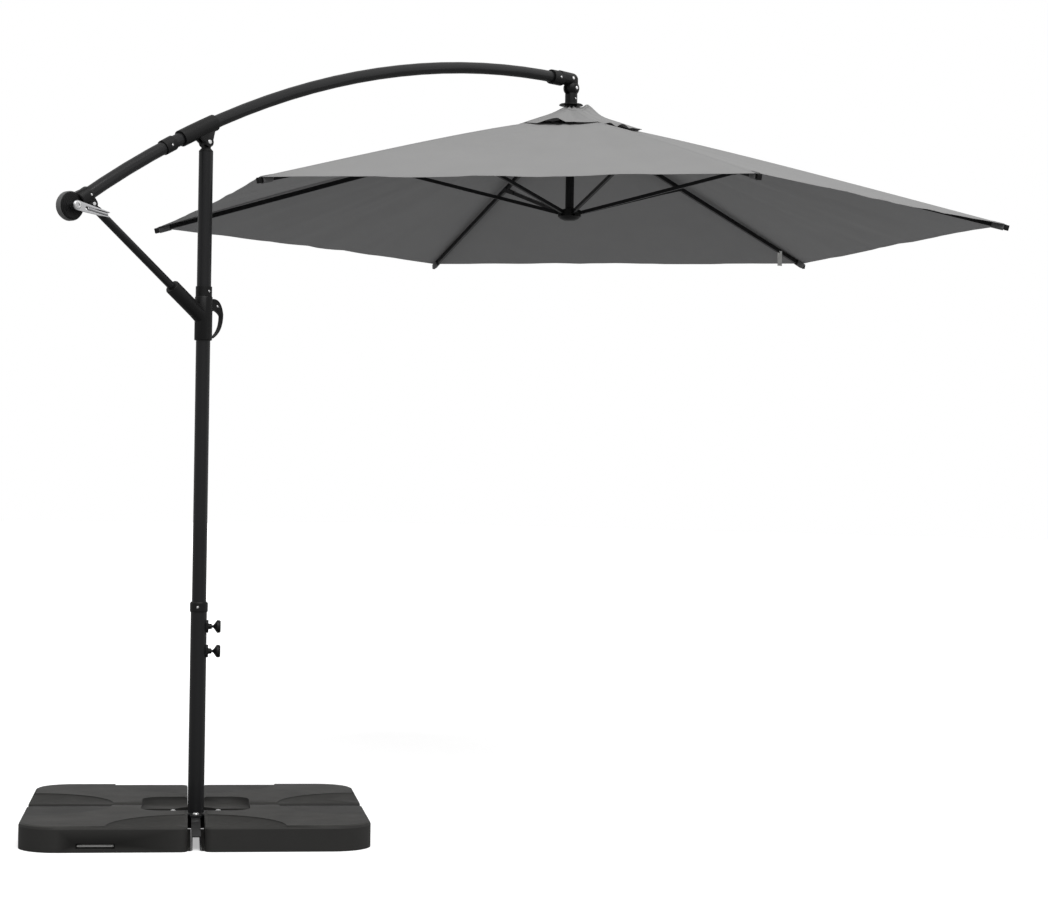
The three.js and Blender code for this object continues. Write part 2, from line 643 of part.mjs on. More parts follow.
// The cord's way inside the boom: off the reel, along the tube, over the pulley and down the leg.
function cordRoute() {
  const rear = arcAngle(boom.rearAt);
  const points = [];
  const place = (angle, x, z) => points.push(new THREE.Vector3(x, 0, z)
    .applyAxisAngle(new THREE.Vector3(0, 1, 0), angle));
  place(rear, reel.along + 14, boomAxisRadius + reel.above + reel.core + 4);
  place(rear, reel.along + 36, boomAxisRadius + 6);
  const inTube = 10;
  for (let i = 1; i < inTube; i++) {
    place(rear + (arcAngle(boomFront - 60) - rear) * (i / inTube), 0, boomAxisRadius);
  }
  const front = arcAngle(reach);
  place(front, -100, boomAxisRadius + 2);
  place(front, -64, boomAxisRadius + 11);
  for (let lean = 108; lean >= 0; lean -= 18) {
    const x = -pulleyBack + pulleyBack * Math.cos(lean * degrees);
    place(front, x, boomAxisRadius + pulley.up + pulleyBack * Math.sin(lean * degrees));
  }
  place(front, 0, boomAxisRadius - 2);
  return points;
}

// A curve that is stepped from one of its points to the next, however far apart they are.
class PointwiseCurve extends THREE.CatmullRomCurve3 {
  getPointAt(share, target) {
    return this.getPoint(share, target);
  }
  getTangentAt(share, target) {
    return this.getTangent(share, target);
  }
}

function liftingCord() {
  const route = cordRoute();
  return new THREE.ExtrudeGeometry(circleOutline(cord.radius), {
    steps: route.length - 1, curveSegments: 4, extrudePath: new PointwiseCurve(route, false, "centripetal"),
  });
}

function buildBoom(parent) {
  const arc = groupAt(parent, arcCentre.x, 0, arcCentre.z);
  piece(arc, "boom_tube", arcPipe(
    boom.radius, boom.radius - boom.wall, boom.rearAt - boom.rearTail, boomFront, 22), paint());
  const { at, length, radius } = stopCollar;
  piece(arc, "boom_stop_collar",
    arcPipe(radius, boom.radius + boomFit, at - length / 2, at + length / 2, 2), plastic());
  piece(arc, "lifting_cord", liftingCord(), twine());

  const rear = onBoom(arc, boom.rearAt);
  piece(rear, "crank_housing_near", housingHalf(true), plastic());
  piece(rear, "crank_housing_far", housingHalf(false), plastic());
  piece(rear, "strut_rivet", strutRivet(), steel());
  const hub = groupAt(rear, ...reelCentre);
  piece(hub, "cord_reel", cordReel(), plastic());
  const arm = groupAt(hub, 0, -crankOut, 0);
  arm.rotation.y = crank.tilt - arcAngle(boom.rearAt);
  piece(arm, "crank_arm", crankArm(), chrome());
  piece(arm, "crank_grip", crankGrip(), chrome()).position.x = crank.length;

  const front = onBoom(arc, reach);
  piece(front, "boom_elbow", frontElbow(), plastic());
  const axle = groupAt(front, -pulleyBack, 0, pulley.up);
  piece(axle, "cord_pulley", pulleyWheel(), plastic());
  piece(axle, "pulley_axle", headedPin(pulley.axle, 2 * socket.radius), steel());
  const pin = groupAt(front, 0, 0, -knuckle.below);
  piece(pin, "knuckle_pin", headedPin(knuckle.pin, 2 * (knuckle.ball - knuckle.flat)), steel());
}

// ---- slider, strut and release lever ----

const strutEnd = boomPoint(boom.rearAt, strutEye.along, -strutEye.below);
const strutRise = Math.atan2(strutEnd.z - strutMeetsAt, -strutEnd.x);
const strutSpan = Math.hypot(strutEnd.x, strutEnd.z - strutMeetsAt);

// A Z-axis solid laid along the strut, z measured from where the strut's axis meets the mast's.
const alongStrut = (geometry) =>
  geometry.rotateY(strutRise - quarter).translate(0, 0, strutMeetsAt);

function sliderBody() {
  const { top, radius, round } = slider;
  const body = turned([
    [0, sliderBottom], [radius - 1, sliderBottom], [radius, sliderBottom + 2], [radius, top - round],
    [radius - 2, top], [0, top],
  ]);
  const { flare, flareLength, lip } = strutSocket;
  const mouth = strut.socketReach;
  const arm = alongStrut(turned([
    [0, 0], [strutSocket.radius + flare, 0], [strutSocket.radius, flareLength],
    [strutSocket.radius, mouth - lip], [strutSocket.radius - 2, mouth], [0, mouth],
  ]));
  const { x: pivotX, z: pivotZ } = leverPivot;
  const earOutline = strip(
    radius - leverEar.rootDepth, pivotZ, leverEar.rootRadius, pivotX, pivotZ, leverEar.radius);
  const ears = slab(earOutline, 2 * lever.thickness);
  const halfRoom = lever.thickness / 2 + slideFit;
  const leverRoom = block(radius + 1, through, -halfRoom, halfRoom,
    pivotZ - leverEar.roomBelow, top + leverEar.roomAbove);
  const strutRoom = alongStrut(rod(strut.radius + fit, mouth - strut.socketDepth, mouth + 9));
  const bore = rod(upperMast.radius + slideFit, sliderBottom - 1, top + 40, 40);
  const underArm = block(-through, 0, -through, through, sliderBottom - 60, sliderBottom);
  return cut(join(body, cut(ears, leverRoom), cut(arm, underArm)), bore, strutRoom);
}

function strutTube() {
  const flat = strutSpan - strutEye.neck;
  const tube = alongStrut(cut(
    rod(strut.radius, strut.socketReach - strut.socketDepth + fit, flat, 20),
    rod(strut.radius - strut.wall, 0, flat - 8, 20)));
  const { radius, neck, thickness } = strutEye;
  const tongue = slab(strip(0, 0, radius, 0, -neck - 2, radius), thickness);
  return join(tube, tongue
    .rotateY(strutRise - quarter)
    .translate(strutEnd.x, 0, strutEnd.z));
}

// A hooked lever, in the frame of its pivot; its bow stands off the slider for the fingers.
function releaseLever() {
  const { bow, drop, band, clear, thickness } = lever;
  const near = clear - lever.standOff;
  const top = lever.belowTop - 3;
  const widest = top - 46;
  const outline = new THREE.Shape()
    .moveTo(near, top - 2)
    .quadraticCurveTo(bow * 0.75, top, bow, widest)
    .quadraticCurveTo(bow, 22 - drop, near + 1, -drop)
    .lineTo(near + 1, 5 - drop)
    .quadraticCurveTo(bow - band, 26 - drop, bow - band, widest - 6)
    .quadraticCurveTo(bow - band - 4, widest + 2, near + 12, -14)
    .lineTo(near, -12);
  return slab(outline, thickness, 8);
}

function buildSlider(parent) {
  piece(parent, "slider_body", sliderBody(), plastic());
  piece(parent, "strut", strutTube(), paint());
  const pivot = groupAt(parent, leverPivot.x, 0, leverPivot.z);
  piece(pivot, "release_lever", releaseLever(), plastic());
}

// ---- hanger and canopy ----

function hangerSocket() {
  const { ball: radius, tongue, pin, flat } = knuckle;
  const ball = new THREE.SphereGeometry(radius, 20, 12);
  const body = turned([
    [0, -socketLength], [socket.radius, -socketLength], [socket.radius, -20], [socket.radius - 2, -10],
    [0, -10],
  ]);
  const halfTongue = tongue / 2 + slideFit;
  const tongueRoom = block(-through, through, -halfTongue, halfTongue, 6 - radius, through);
  const sides = [
    block(-through, through, radius - flat, through, -through, through),
    block(-through, through, -through, flat - radius, -through, through),
  ];
  return cut(
    join(ball, body), tongueRoom, ...sides, rod(cord.wayRadius + 0.5, -70, 10, 16),
    alongY(rod(pin + fit, -through, through, 16)));
}

// A hub with six slots for the bars' ends; the slots open down on the crown and up on the runner.
function slottedHub(profile, barWidth, slotLow, slotHigh) {
  const half = barWidth / 2 + slideFit;
  const slots = [];
  for (let i = 0; i < canopy.ribs; i++) {
    slots.push(block(crown.hingeRadius - hubSlot.depth, through, -half, half, slotLow, slotHigh)
      .rotateZ(i * 2 * Math.PI / canopy.ribs));
  }
  return cut(turned(profile, 36), ...slots);
}

function crownHub() {
  const { radius, top, skirt, bore, chamfer } = crown;
  const discTop = discLow + crown.discThickness;
  const profile = [
    [bore, -skirt], [radius - 4, -skirt], [radius, chamfer - skirt], [radius, 8], [radius - 8, top - 4],
    [socket.radius, top], [socket.radius, discLow], [radius, discLow], [radius, discLow + 1],
    [radius - 3, discTop], [bore, discTop], [bore, -skirt],
  ];
  return slottedHub(profile, rib.width, -through, rib.eye + hubSlot.past);
}

function runnerHub() {
  const { radius, height, tubeRadius, rim, floor } = runner;
  const low = -height * 0.66;
  const profile = [
    [0, low], [radius * 0.45, low], [radius * 0.8, low + 6], [radius, low + 14], [radius, rim - 2],
    [radius - 4, rim], [tubeRadius + fit, rim], [tubeRadius + fit, floor], [0, floor],
  ];
  return slottedHub(profile, stretcher.width, -stretcher.eye - hubSlot.past, through);
}

// A rib along X from its hinge at the origin.
function ribBar() {
  const { height, width, wall, eye, root: rootLength, pin } = rib;
  const halfH = height / 2;
  const halfW = width / 2;
  const start = eye + rootLength;
  const box = cut(
    block(start, ribLength, -halfW, halfW, -halfH, halfH),
    block(start + 10, ribLength + 1, wall - halfW, halfW - wall, wall - halfH, halfH - wall));
  const root = slab(strip(0, 0, eye, start + 4, 0, eye), width, 4);
  return cut(join(root, box), alongY(rod(pin, -through, through, 12)));
}

// A stretcher along -X from its joint on the rib, which its fork straddles.
function stretcherBar() {
  const { length, height, width, cheek, fork, eye } = stretcher;
  const half = height / 2;
  const outside = rib.width / 2 + slideFit + cheek;
  const body = block(-length + eye + 4, -fork + 6, -width / 2, width / 2, -half, half);
  const root = slab(strip(-length, 0, eye, -length + eye + 8, 0, half), width, 4);
  const cheeks = slab(strip(-fork + 2, 0, half, 0, 0, eye), 2 * outside, 4);
  const forkRoom = block(-fork + 8, through, cheek - outside, outside - cheek, -through, through);
  return join(body, root, cut(cheeks, forkRoom));
}

// A six-sided sheet between two radii, given the height at each corner radius.
function hexSheet(inner, innerHeight, outer, outerHeight, thickness) {
  const ring = (radius, z) => Array.from({ length: canopy.ribs }, (unused, i) => {
    const angle = i * 2 * Math.PI / canopy.ribs;
    return [radius * Math.cos(angle), radius * Math.sin(angle), z];
  });
  const corners = [
    ...ring(inner, innerHeight), ...ring(outer, outerHeight),
    ...ring(inner, innerHeight + thickness), ...ring(outer, outerHeight + thickness),
  ];
  const count = canopy.ribs;
  const faces = [];
  for (let i = 0; i < count; i++) {
    const next = (i + 1) % count;
    const quad = (a, b, c, d) => faces.push(a, b, c, a, c, d);
    quad(i, next, count + next, count + i); // underside
    quad(2 * count + i, 3 * count + i, 3 * count + next, 2 * count + next); // top
    quad(count + i, count + next, 3 * count + next, 3 * count + i); // rim
    quad(next, i, 2 * count + i, 2 * count + next); // vent edge
  }
  return new THREE.BufferGeometry()
    .setAttribute("position", new THREE.Float32BufferAttribute(corners.flat(), 3))
    .setIndex(faces);
}

function buildCanopy(parent) {
  const hinge = groupAt(parent, hangerPin.x, 0, hangerPin.z);
  piece(hinge, "hanger_socket", hangerSocket(), plastic());
  const hub = groupAt(parent, hangerPin.x, 0, crownHeight);
  hub.rotation.z = canopy.turn;
  piece(hub, "crown", crownHub(), plastic());
  const outer = canopy.radius - fabric.inset;
  piece(hub, "canopy_fabric", hexSheet(
    fabric.ventRadius, sheetHeight(fabric.ventRadius), outer, sheetHeight(outer), fabric.thickness), cloth());
  piece(hub, "vent_cap", hexSheet(
    vent.hole, ventEdge + vent.rise, vent.radius, ventEdge, fabric.thickness), cloth());

  const drop = runnerHeight - crownHeight;
  for (let i = 0; i < canopy.ribs; i++) {
    const spoke = new THREE.Group();
    spoke.rotation.z = i * 2 * Math.PI / canopy.ribs;
    hub.add(spoke);
    const ribPivot = groupAt(spoke, crown.hingeRadius, 0, 0);
    ribPivot.rotation.y = canopy.ribAngle;
    piece(ribPivot, `rib_${i + 1}`, ribBar(), paint());
    const jointAt = crown.hingeRadius + stretcher.length * Math.cos(canopy.ribAngle);
    const joint = groupAt(spoke, jointAt, 0, drop / 2);
    joint.rotation.y = -canopy.ribAngle;
    piece(joint, `stretcher_${i + 1}`, stretcherBar(), paint());
  }
  const low = groupAt(hub, 0, 0, drop);
  piece(low, "runner", runnerHub(), plastic());
  const { tubeRadius, tubeWall, tubeGap, floor } = runner;
  piece(low, "runner_tube",
    pipe(tubeRadius, tubeRadius - tubeWall, floor + fit, -drop - tubeGap, 24), paint());
  piece(low, "cord_stopper",
    rod(cord.stopperRadius, cord.stopperUp, cord.stopperUp + cord.stopperHeight, 16), plastic());
}

const parasol = new THREE.Group();
buildBase(parasol);
buildMast(parasol);
buildBoom(parasol);
buildSlider(parasol);
buildCanopy(parasol);

export default parasol;
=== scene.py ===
# Cantilever parasol: finishes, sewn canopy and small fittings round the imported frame.
# Metres, +Z up, the mast's axis at the origin, +X from the mast towards the canopy.
import bpy
import bmesh
import json
import math
from mathutils import Matrix, Vector, noise


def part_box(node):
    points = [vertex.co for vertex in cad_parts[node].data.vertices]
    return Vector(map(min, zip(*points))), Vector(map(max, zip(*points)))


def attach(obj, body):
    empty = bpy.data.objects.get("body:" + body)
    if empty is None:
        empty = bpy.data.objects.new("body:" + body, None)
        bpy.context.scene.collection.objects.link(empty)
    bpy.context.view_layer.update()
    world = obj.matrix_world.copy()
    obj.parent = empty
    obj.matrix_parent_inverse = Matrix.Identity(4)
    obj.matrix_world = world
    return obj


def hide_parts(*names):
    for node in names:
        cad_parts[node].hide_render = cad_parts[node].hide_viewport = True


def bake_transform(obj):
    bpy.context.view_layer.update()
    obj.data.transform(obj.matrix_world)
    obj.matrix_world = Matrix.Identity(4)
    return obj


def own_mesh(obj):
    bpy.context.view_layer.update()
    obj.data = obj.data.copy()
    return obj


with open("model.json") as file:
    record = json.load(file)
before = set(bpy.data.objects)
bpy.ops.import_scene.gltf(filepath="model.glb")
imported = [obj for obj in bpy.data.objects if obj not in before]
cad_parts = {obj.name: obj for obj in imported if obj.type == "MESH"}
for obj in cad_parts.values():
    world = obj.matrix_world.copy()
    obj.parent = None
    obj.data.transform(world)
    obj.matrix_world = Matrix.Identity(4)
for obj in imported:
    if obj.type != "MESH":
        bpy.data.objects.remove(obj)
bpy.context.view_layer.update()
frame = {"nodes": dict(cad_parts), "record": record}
nodes = frame["nodes"]
bodyOf = {node: body for body, members in frame["record"]["behaviour"]["bodies"].items() for node in members}
slotOf = {part["node"]: part["material_slot"] for part in frame["record"]["subparts"]}
print("frame loaded:", len(nodes), "nodes")


# Camera, floor and light.
view = {"place": (-4.592, -5.408, 0.986), "towards": (0.7443, 0.6678, 0.0), "roll": 0.9,
        "lens": 81.45, "shift": 0.0479}


def addCamera():
    data = bpy.data.cameras.new("camera")
    data.lens = view["lens"]
    data.sensor_width = 36
    data.shift_y = view["shift"]
    camera = bpy.data.objects.new("camera", data)
    bpy.context.scene.collection.objects.link(camera)
    forward = Vector(view["towards"]).normalized()
    up = Vector((0, 0, 1))
    right = forward.cross(up)
    turn = Matrix((right, up, -forward)).transposed().to_4x4()
    camera.matrix_world = Matrix.Translation(view["place"]) @ turn @ Matrix.Rotation(
        math.radians(view["roll"]), 4, "Z")
    bpy.context.scene.camera = camera


studio = {
    "surround": 0.62, "backdrop": 1.0,
    "floor": (0.9, 0.9, 0.9), "bounce": (0.34, 0.34, 0.34), "glow": 0.42,
    "floorSize": 60, "floorDrop": 0.0005,
    "suns": [("key", (-0.35, -0.75, 1.0), 1.9, 50), ("side", (0.9, -0.5, 0.5), 0.35, 60)],
}


def addStudio():
    scene = bpy.context.scene
    scene.view_settings.view_transform = "Standard"
    world = bpy.data.worlds.new("studio")
    world.use_nodes = True
    tree = world.node_tree
    background = tree.nodes["Background"]
    background.inputs["Color"].default_value = (1.0, 1.0, 1.0, 1)
    rays = addNode(tree, "ShaderNodeLightPath")
    strength = addNode(tree, "ShaderNodeMapRange",
                       {"To Min": studio["surround"], "To Max": studio["backdrop"]})
    tree.links.new(rays.outputs["Is Camera Ray"], strength.inputs["Value"])
    tree.links.new(strength.outputs[0], background.inputs["Strength"])
    scene.world = world
    for name, source, power, spread in studio["suns"]:
        sun = bpy.data.lights.new(name, "SUN")
        sun.energy = power
        sun.angle = math.radians(spread)
        sunObject = bpy.data.objects.new(name, sun)
        sunObject.rotation_euler = Vector(source).to_track_quat("Z", "Y").to_euler()
        scene.collection.objects.link(sunObject)
    floorMesh = bmesh.new()
    bmesh.ops.create_grid(floorMesh, x_segments=1, y_segments=1, size=studio["floorSize"])
    floor = newObject("floor", floorMesh)
    floor.location.z = -studio["floorDrop"]
    # Pale to the camera, with a weaker bounce so that undersides stay in shade.
    material, principled = newMaterial("pale floor")
    tree = material.node_tree
    rays = addNode(tree, "ShaderNodeLightPath")
    seen = addNode(tree, "ShaderNodeMix", data_type="RGBA")
    seen.inputs["A"].default_value = (*studio["bounce"], 1)
    seen.inputs["B"].default_value = (*studio["floor"], 1)
    tree.links.new(rays.outputs["Is Camera Ray"], seen.inputs["Factor"])
    tree.links.new(seen.outputs["Result"], principled.inputs["Base Color"])
    glow = addNode(tree, "ShaderNodeMath", operation="MULTIPLY")
    glow.inputs[1].default_value = studio["glow"]
    tree.links.new(rays.outputs["Is Camera Ray"], glow.inputs[0])
    tree.links.new(glow.outputs[0], principled.inputs["Emission Strength"])
    principled.inputs["Emission Color"].default_value = (1, 1, 1, 1)
    principled.inputs["Roughness"].default_value = 0.9
    floor.data.materials.append(material)


def newObject(name, mesh, smooth=None):
    data = bpy.data.meshes.new(name)
    mesh.to_mesh(data)
    mesh.free()
    made = bpy.data.objects.new(name, data)
    bpy.context.scene.collection.objects.link(made)
    if smooth is not None:
        data.shade_smooth()
        data.set_sharp_from_angle(angle=math.radians(smooth))
    return made


# Shader groups that several finishes share.
def newGroup(name, inputs, outputs):
    group = bpy.data.node_groups.new(name, "ShaderNodeTree")
    for socket, kind, value in inputs:
        made = group.interface.new_socket(name=socket, in_out="INPUT", socket_type=kind)
        made.default_value = value
    for socket, kind in outputs:
        group.interface.new_socket(name=socket, in_out="OUTPUT", socket_type=kind)
    return group, group.nodes.new("NodeGroupInput"), group.nodes.new("NodeGroupOutput")


def addNode(tree, kind, values=None, **settings):
    node = tree.nodes.new(kind)
    for key, value in settings.items():
        setattr(node, key, value)
    for socket, value in (values or {}).items():
        node.inputs[socket].default_value = value
    return node


def makeGrain():
    # Fine speckle on a broad, soft unevenness: a colour factor, a roughness and a height.
    group, into, out = newGroup("grain", [
        ("Scale", "NodeSocketFloat", 900.0), ("Speckle", "NodeSocketFloat", 0.3),
        ("Unevenness", "NodeSocketFloat", 0.15), ("Roughness", "NodeSocketFloat", 0.5),
    ], [("Shade", "NodeSocketFloat"), ("Roughness", "NodeSocketFloat"), ("Height", "NodeSocketFloat")])
    place = addNode(group, "ShaderNodeTexCoord")
    fine = addNode(group, "ShaderNodeTexNoise", {"Detail": 3.0, "Roughness": 0.6})
    broad = addNode(group, "ShaderNodeTexNoise", {"Scale": 9.0, "Detail": 4.0})
    link = group.links.new
    link(place.outputs["Object"], fine.inputs["Vector"])
    link(place.outputs["Object"], broad.inputs["Vector"])
    link(into.outputs["Scale"], fine.inputs["Scale"])
    spread = addNode(group, "ShaderNodeMath", operation="MULTIPLY_ADD")
    spread.inputs[2].default_value = 1.0
    centred = addNode(group, "ShaderNodeMath", operation="SUBTRACT")
    centred.inputs[1].default_value = 0.5
    link(broad.outputs["Fac"], centred.inputs[0])
    link(centred.outputs[0], spread.inputs[0])
    link(into.outputs["Unevenness"], spread.inputs[1])
    speck = addNode(group, "ShaderNodeMath", operation="SUBTRACT")
    speck.inputs[1].default_value = 0.5
    link(fine.outputs["Fac"], speck.inputs[0])
    speckled = addNode(group, "ShaderNodeMath", operation="MULTIPLY_ADD")
    link(speck.outputs[0], speckled.inputs[0])
    link(into.outputs["Speckle"], speckled.inputs[1])
    link(spread.outputs[0], speckled.inputs[2])
    link(speckled.outputs[0], out.inputs["Shade"])
    rough = addNode(group, "ShaderNodeMath", operation="MULTIPLY")
    link(into.outputs["Roughness"], rough.inputs[0])
    link(spread.outputs[0], rough.inputs[1])
    link(rough.outputs[0], out.inputs["Roughness"])
    link(fine.outputs["Fac"], out.inputs["Height"])
    return group


def makeDust():
    # Pale dust that settles on upward faces, broken up by noise.
    group, into, out = newGroup("dust", [
        ("Color", "NodeSocketColor", (0.1, 0.1, 0.1, 1)), ("Dust", "NodeSocketColor", (0.3, 0.29, 0.27, 1)),
        ("Amount", "NodeSocketFloat", 0.2),
    ], [("Color", "NodeSocketColor")])
    link = group.links.new
    surface = addNode(group, "ShaderNodeNewGeometry")
    split = addNode(group, "ShaderNodeSeparateXYZ")
    link(surface.outputs["Normal"], split.inputs[0])
    place = addNode(group, "ShaderNodeTexCoord")
    patches = addNode(group, "ShaderNodeTexNoise", {"Scale": 14.0, "Detail": 6.0, "Roughness": 0.65})
    link(place.outputs["Object"], patches.inputs["Vector"])
    upward = addNode(group, "ShaderNodeMapRange", {"From Min": 0.3, "From Max": 1.0})
    link(split.outputs["Z"], upward.inputs["Value"])
    broken = addNode(group, "ShaderNodeMath", operation="MULTIPLY")
    link(upward.outputs[0], broken.inputs[0])
    link(patches.outputs["Fac"], broken.inputs[1])
    amount = addNode(group, "ShaderNodeMath", operation="MULTIPLY")
    link(broken.outputs[0], amount.inputs[0])
    link(into.outputs["Amount"], amount.inputs[1])
    mixed = addNode(group, "ShaderNodeMix", data_type="RGBA")
    link(amount.outputs[0], mixed.inputs["Factor"])
    link(into.outputs["Color"], mixed.inputs["A"])
    link(into.outputs["Dust"], mixed.inputs["B"])
    link(mixed.outputs["Result"], out.inputs["Color"])
    return group


def makeWeave():
    # Plain weave from the cloth's own map, in threads a metre, with a broad variation of shade.
    group, into, out = newGroup("weave", [
        ("Threads", "NodeSocketFloat", 1400.0), ("Variation", "NodeSocketFloat", 0.1),
    ], [("Shade", "NodeSocketFloat"), ("Height", "NodeSocketFloat")])
    link = group.links.new
    place = addNode(group, "ShaderNodeTexCoord")
    grown = addNode(group, "ShaderNodeVectorMath", operation="SCALE")
    link(place.outputs["UV"], grown.inputs[0])
    link(into.outputs["Threads"], grown.inputs["Scale"])
    split = addNode(group, "ShaderNodeSeparateXYZ")
    link(grown.outputs[0], split.inputs[0])
    waves = []
    for axis in "XY":
        wave = addNode(group, "ShaderNodeMath", operation="SINE")
        link(split.outputs[axis], wave.inputs[0])
        waves.append(wave)
    crossed = addNode(group, "ShaderNodeMath", operation="MULTIPLY")
    link(waves[0].outputs[0], crossed.inputs[0])
    link(waves[1].outputs[0], crossed.inputs[1])
    link(crossed.outputs[0], out.inputs["Height"])
    clouds = addNode(group, "ShaderNodeTexNoise", {"Scale": 5.0, "Detail": 5.0, "Roughness": 0.6})
    link(place.outputs["Object"], clouds.inputs["Vector"])
    centred = addNode(group, "ShaderNodeMath", operation="SUBTRACT")
    centred.inputs[1].default_value = 0.5
    link(clouds.outputs["Fac"], centred.inputs[0])
    varied = addNode(group, "ShaderNodeMath", operation="MULTIPLY_ADD")
    varied.inputs[2].default_value = 1.0
    link(centred.outputs[0], varied.inputs[0])
    link(into.outputs["Variation"], varied.inputs[1])
    link(varied.outputs[0], out.inputs["Shade"])
    return group


def makeStitch():
    # Two rows of dashes along a sewn edge: 1 on a thread. Distance is from the edge, Along runs with it.
    group, into, out = newGroup("stitch", [
        ("Distance", "NodeSocketFloat", 1.0), ("Along", "NodeSocketFloat", 0.0),
        ("Row", "NodeSocketFloat", 0.006), ("Width", "NodeSocketFloat", 0.0006),
        ("Pitch", "NodeSocketFloat", 0.004),
    ], [("Thread", "NodeSocketFloat")])
    link = group.links.new
    offset = addNode(group, "ShaderNodeMath", operation="SUBTRACT")
    link(into.outputs["Distance"], offset.inputs[0])
    link(into.outputs["Row"], offset.inputs[1])
    away = addNode(group, "ShaderNodeMath", operation="ABSOLUTE")
    link(offset.outputs[0], away.inputs[0])
    onRow = addNode(group, "ShaderNodeMath", operation="LESS_THAN")
    link(away.outputs[0], onRow.inputs[0])
    link(into.outputs["Width"], onRow.inputs[1])
    share = addNode(group, "ShaderNodeMath", operation="DIVIDE")
    link(into.outputs["Along"], share.inputs[0])
    link(into.outputs["Pitch"], share.inputs[1])
    phase = addNode(group, "ShaderNodeMath", operation="FRACT")
    link(share.outputs[0], phase.inputs[0])
    dash = addNode(group, "ShaderNodeMath", operation="LESS_THAN")
    dash.inputs[1].default_value = 0.72
    link(phase.outputs[0], dash.inputs[0])
    both = addNode(group, "ShaderNodeMath", operation="MULTIPLY")
    link(onRow.outputs[0], both.inputs[0])
    link(dash.outputs[0], both.inputs[1])
    link(both.outputs[0], out.inputs["Thread"])
    return group


groups = {"grain": makeGrain(), "dust": makeDust(), "weave": makeWeave(), "stitch": makeStitch()}


# Finishes and cloth.
def newMaterial(name):
    material = bpy.data.materials.new(name)
    material.use_nodes = True
    return material, material.node_tree.nodes["Principled BSDF"]


def placeGroup(tree, name, values=None):
    node = addNode(tree, "ShaderNodeGroup", node_tree=groups[name])
    for socket, value in (values or {}).items():
        node.inputs[socket].default_value = value
    return node


def shaded(tree, color, factor):
    # A colour multiplied by a factor that varies over the surface.
    mixed = addNode(tree, "ShaderNodeMix", data_type="RGBA", blend_type="MULTIPLY")
    mixed.inputs["Factor"].default_value = 1.0
    mixed.inputs["A"].default_value = (*color, 1)
    tree.links.new(factor, mixed.inputs["B"])
    return mixed.outputs["Result"]


def bumped(tree, height, principled, strength, distance):
    bump = addNode(tree, "ShaderNodeBump", {"Strength": strength, "Distance": distance})
    tree.links.new(height, bump.inputs["Height"])
    tree.links.new(bump.outputs["Normal"], principled.inputs["Normal"])


finishes = {
    "label_cloth": {"color": (0.82, 0.82, 0.80), "grain": 1500.0, "speckle": 0.2, "uneven": 0.15,
                    "rough": 0.8, "bump": 0.2, "dust": 0.0, "metal": 0.0, "coat": 0.0},
    "powder_coat": {"color": (0.0075, 0.0077, 0.0084), "grain": 1300.0, "speckle": 0.5, "uneven": 0.25,
                    "rough": 0.42, "bump": 0.16, "dust": 0.05, "metal": 0.0, "coat": 0.15},
    "black_plastic": {"color": (0.0052, 0.0052, 0.0054), "grain": 2200.0, "speckle": 0.35, "uneven": 0.3,
                      "rough": 0.46, "bump": 0.12, "dust": 0.05, "metal": 0.0, "coat": 0.0},
    "base_plastic": {"color": (0.022, 0.0216, 0.0205), "grain": 1100.0, "speckle": 0.7, "uneven": 0.35,
                     "rough": 0.66, "bump": 0.35, "dust": 0.12, "metal": 0.0, "coat": 0.0},
    "rivet_steel": {"color": (0.72, 0.72, 0.72), "grain": 900.0, "speckle": 0.1, "uneven": 0.2,
                    "rough": 0.28, "bump": 0.05, "dust": 0.0, "metal": 1.0, "coat": 0.0},
    "chrome": {"color": (0.50, 0.50, 0.51), "grain": 700.0, "speckle": 0.04, "uneven": 0.3,
               "rough": 0.16, "bump": 0.02, "dust": 0.0, "metal": 1.0, "coat": 0.0},
    "nylon": {"color": (0.035, 0.035, 0.036), "grain": 1600.0, "speckle": 0.2, "uneven": 0.2,
              "rough": 0.4, "bump": 0.08, "dust": 0.0, "metal": 0.0, "coat": 0.0},
    "ballast": {"color": (0.33, 0.32, 0.30), "grain": 500.0, "speckle": 0.9, "uneven": 0.4,
                "rough": 0.92, "bump": 0.6, "dust": 0.1, "metal": 0.0, "coat": 0.0},
    "cord": {"color": (0.03, 0.03, 0.03), "grain": 1500.0, "speckle": 0.9, "uneven": 0.2,
             "rough": 0.85, "bump": 0.5, "dust": 0.0, "metal": 0.0, "coat": 0.0},
    "rim_plastic": {"color": (0.11, 0.11, 0.11), "grain": 1800.0, "speckle": 0.3, "uneven": 0.3,
                    "rough": 0.38, "bump": 0.1, "dust": 0.05, "metal": 0.0, "coat": 0.0},
    "copper": {"color": (0.50, 0.17, 0.06), "grain": 900.0, "speckle": 0.1, "uneven": 0.2,
               "rough": 0.42, "bump": 0.04, "dust": 0.0, "metal": 0.7, "coat": 0.0},
    "pale_bar": {"color": (0.42, 0.42, 0.41), "grain": 900.0, "speckle": 0.3, "uneven": 0.2,
                 "rough": 0.5, "bump": 0.1, "dust": 0.0, "metal": 0.0, "coat": 0.0},
}
finishGloss = 0.22
grainDepth = 0.0004


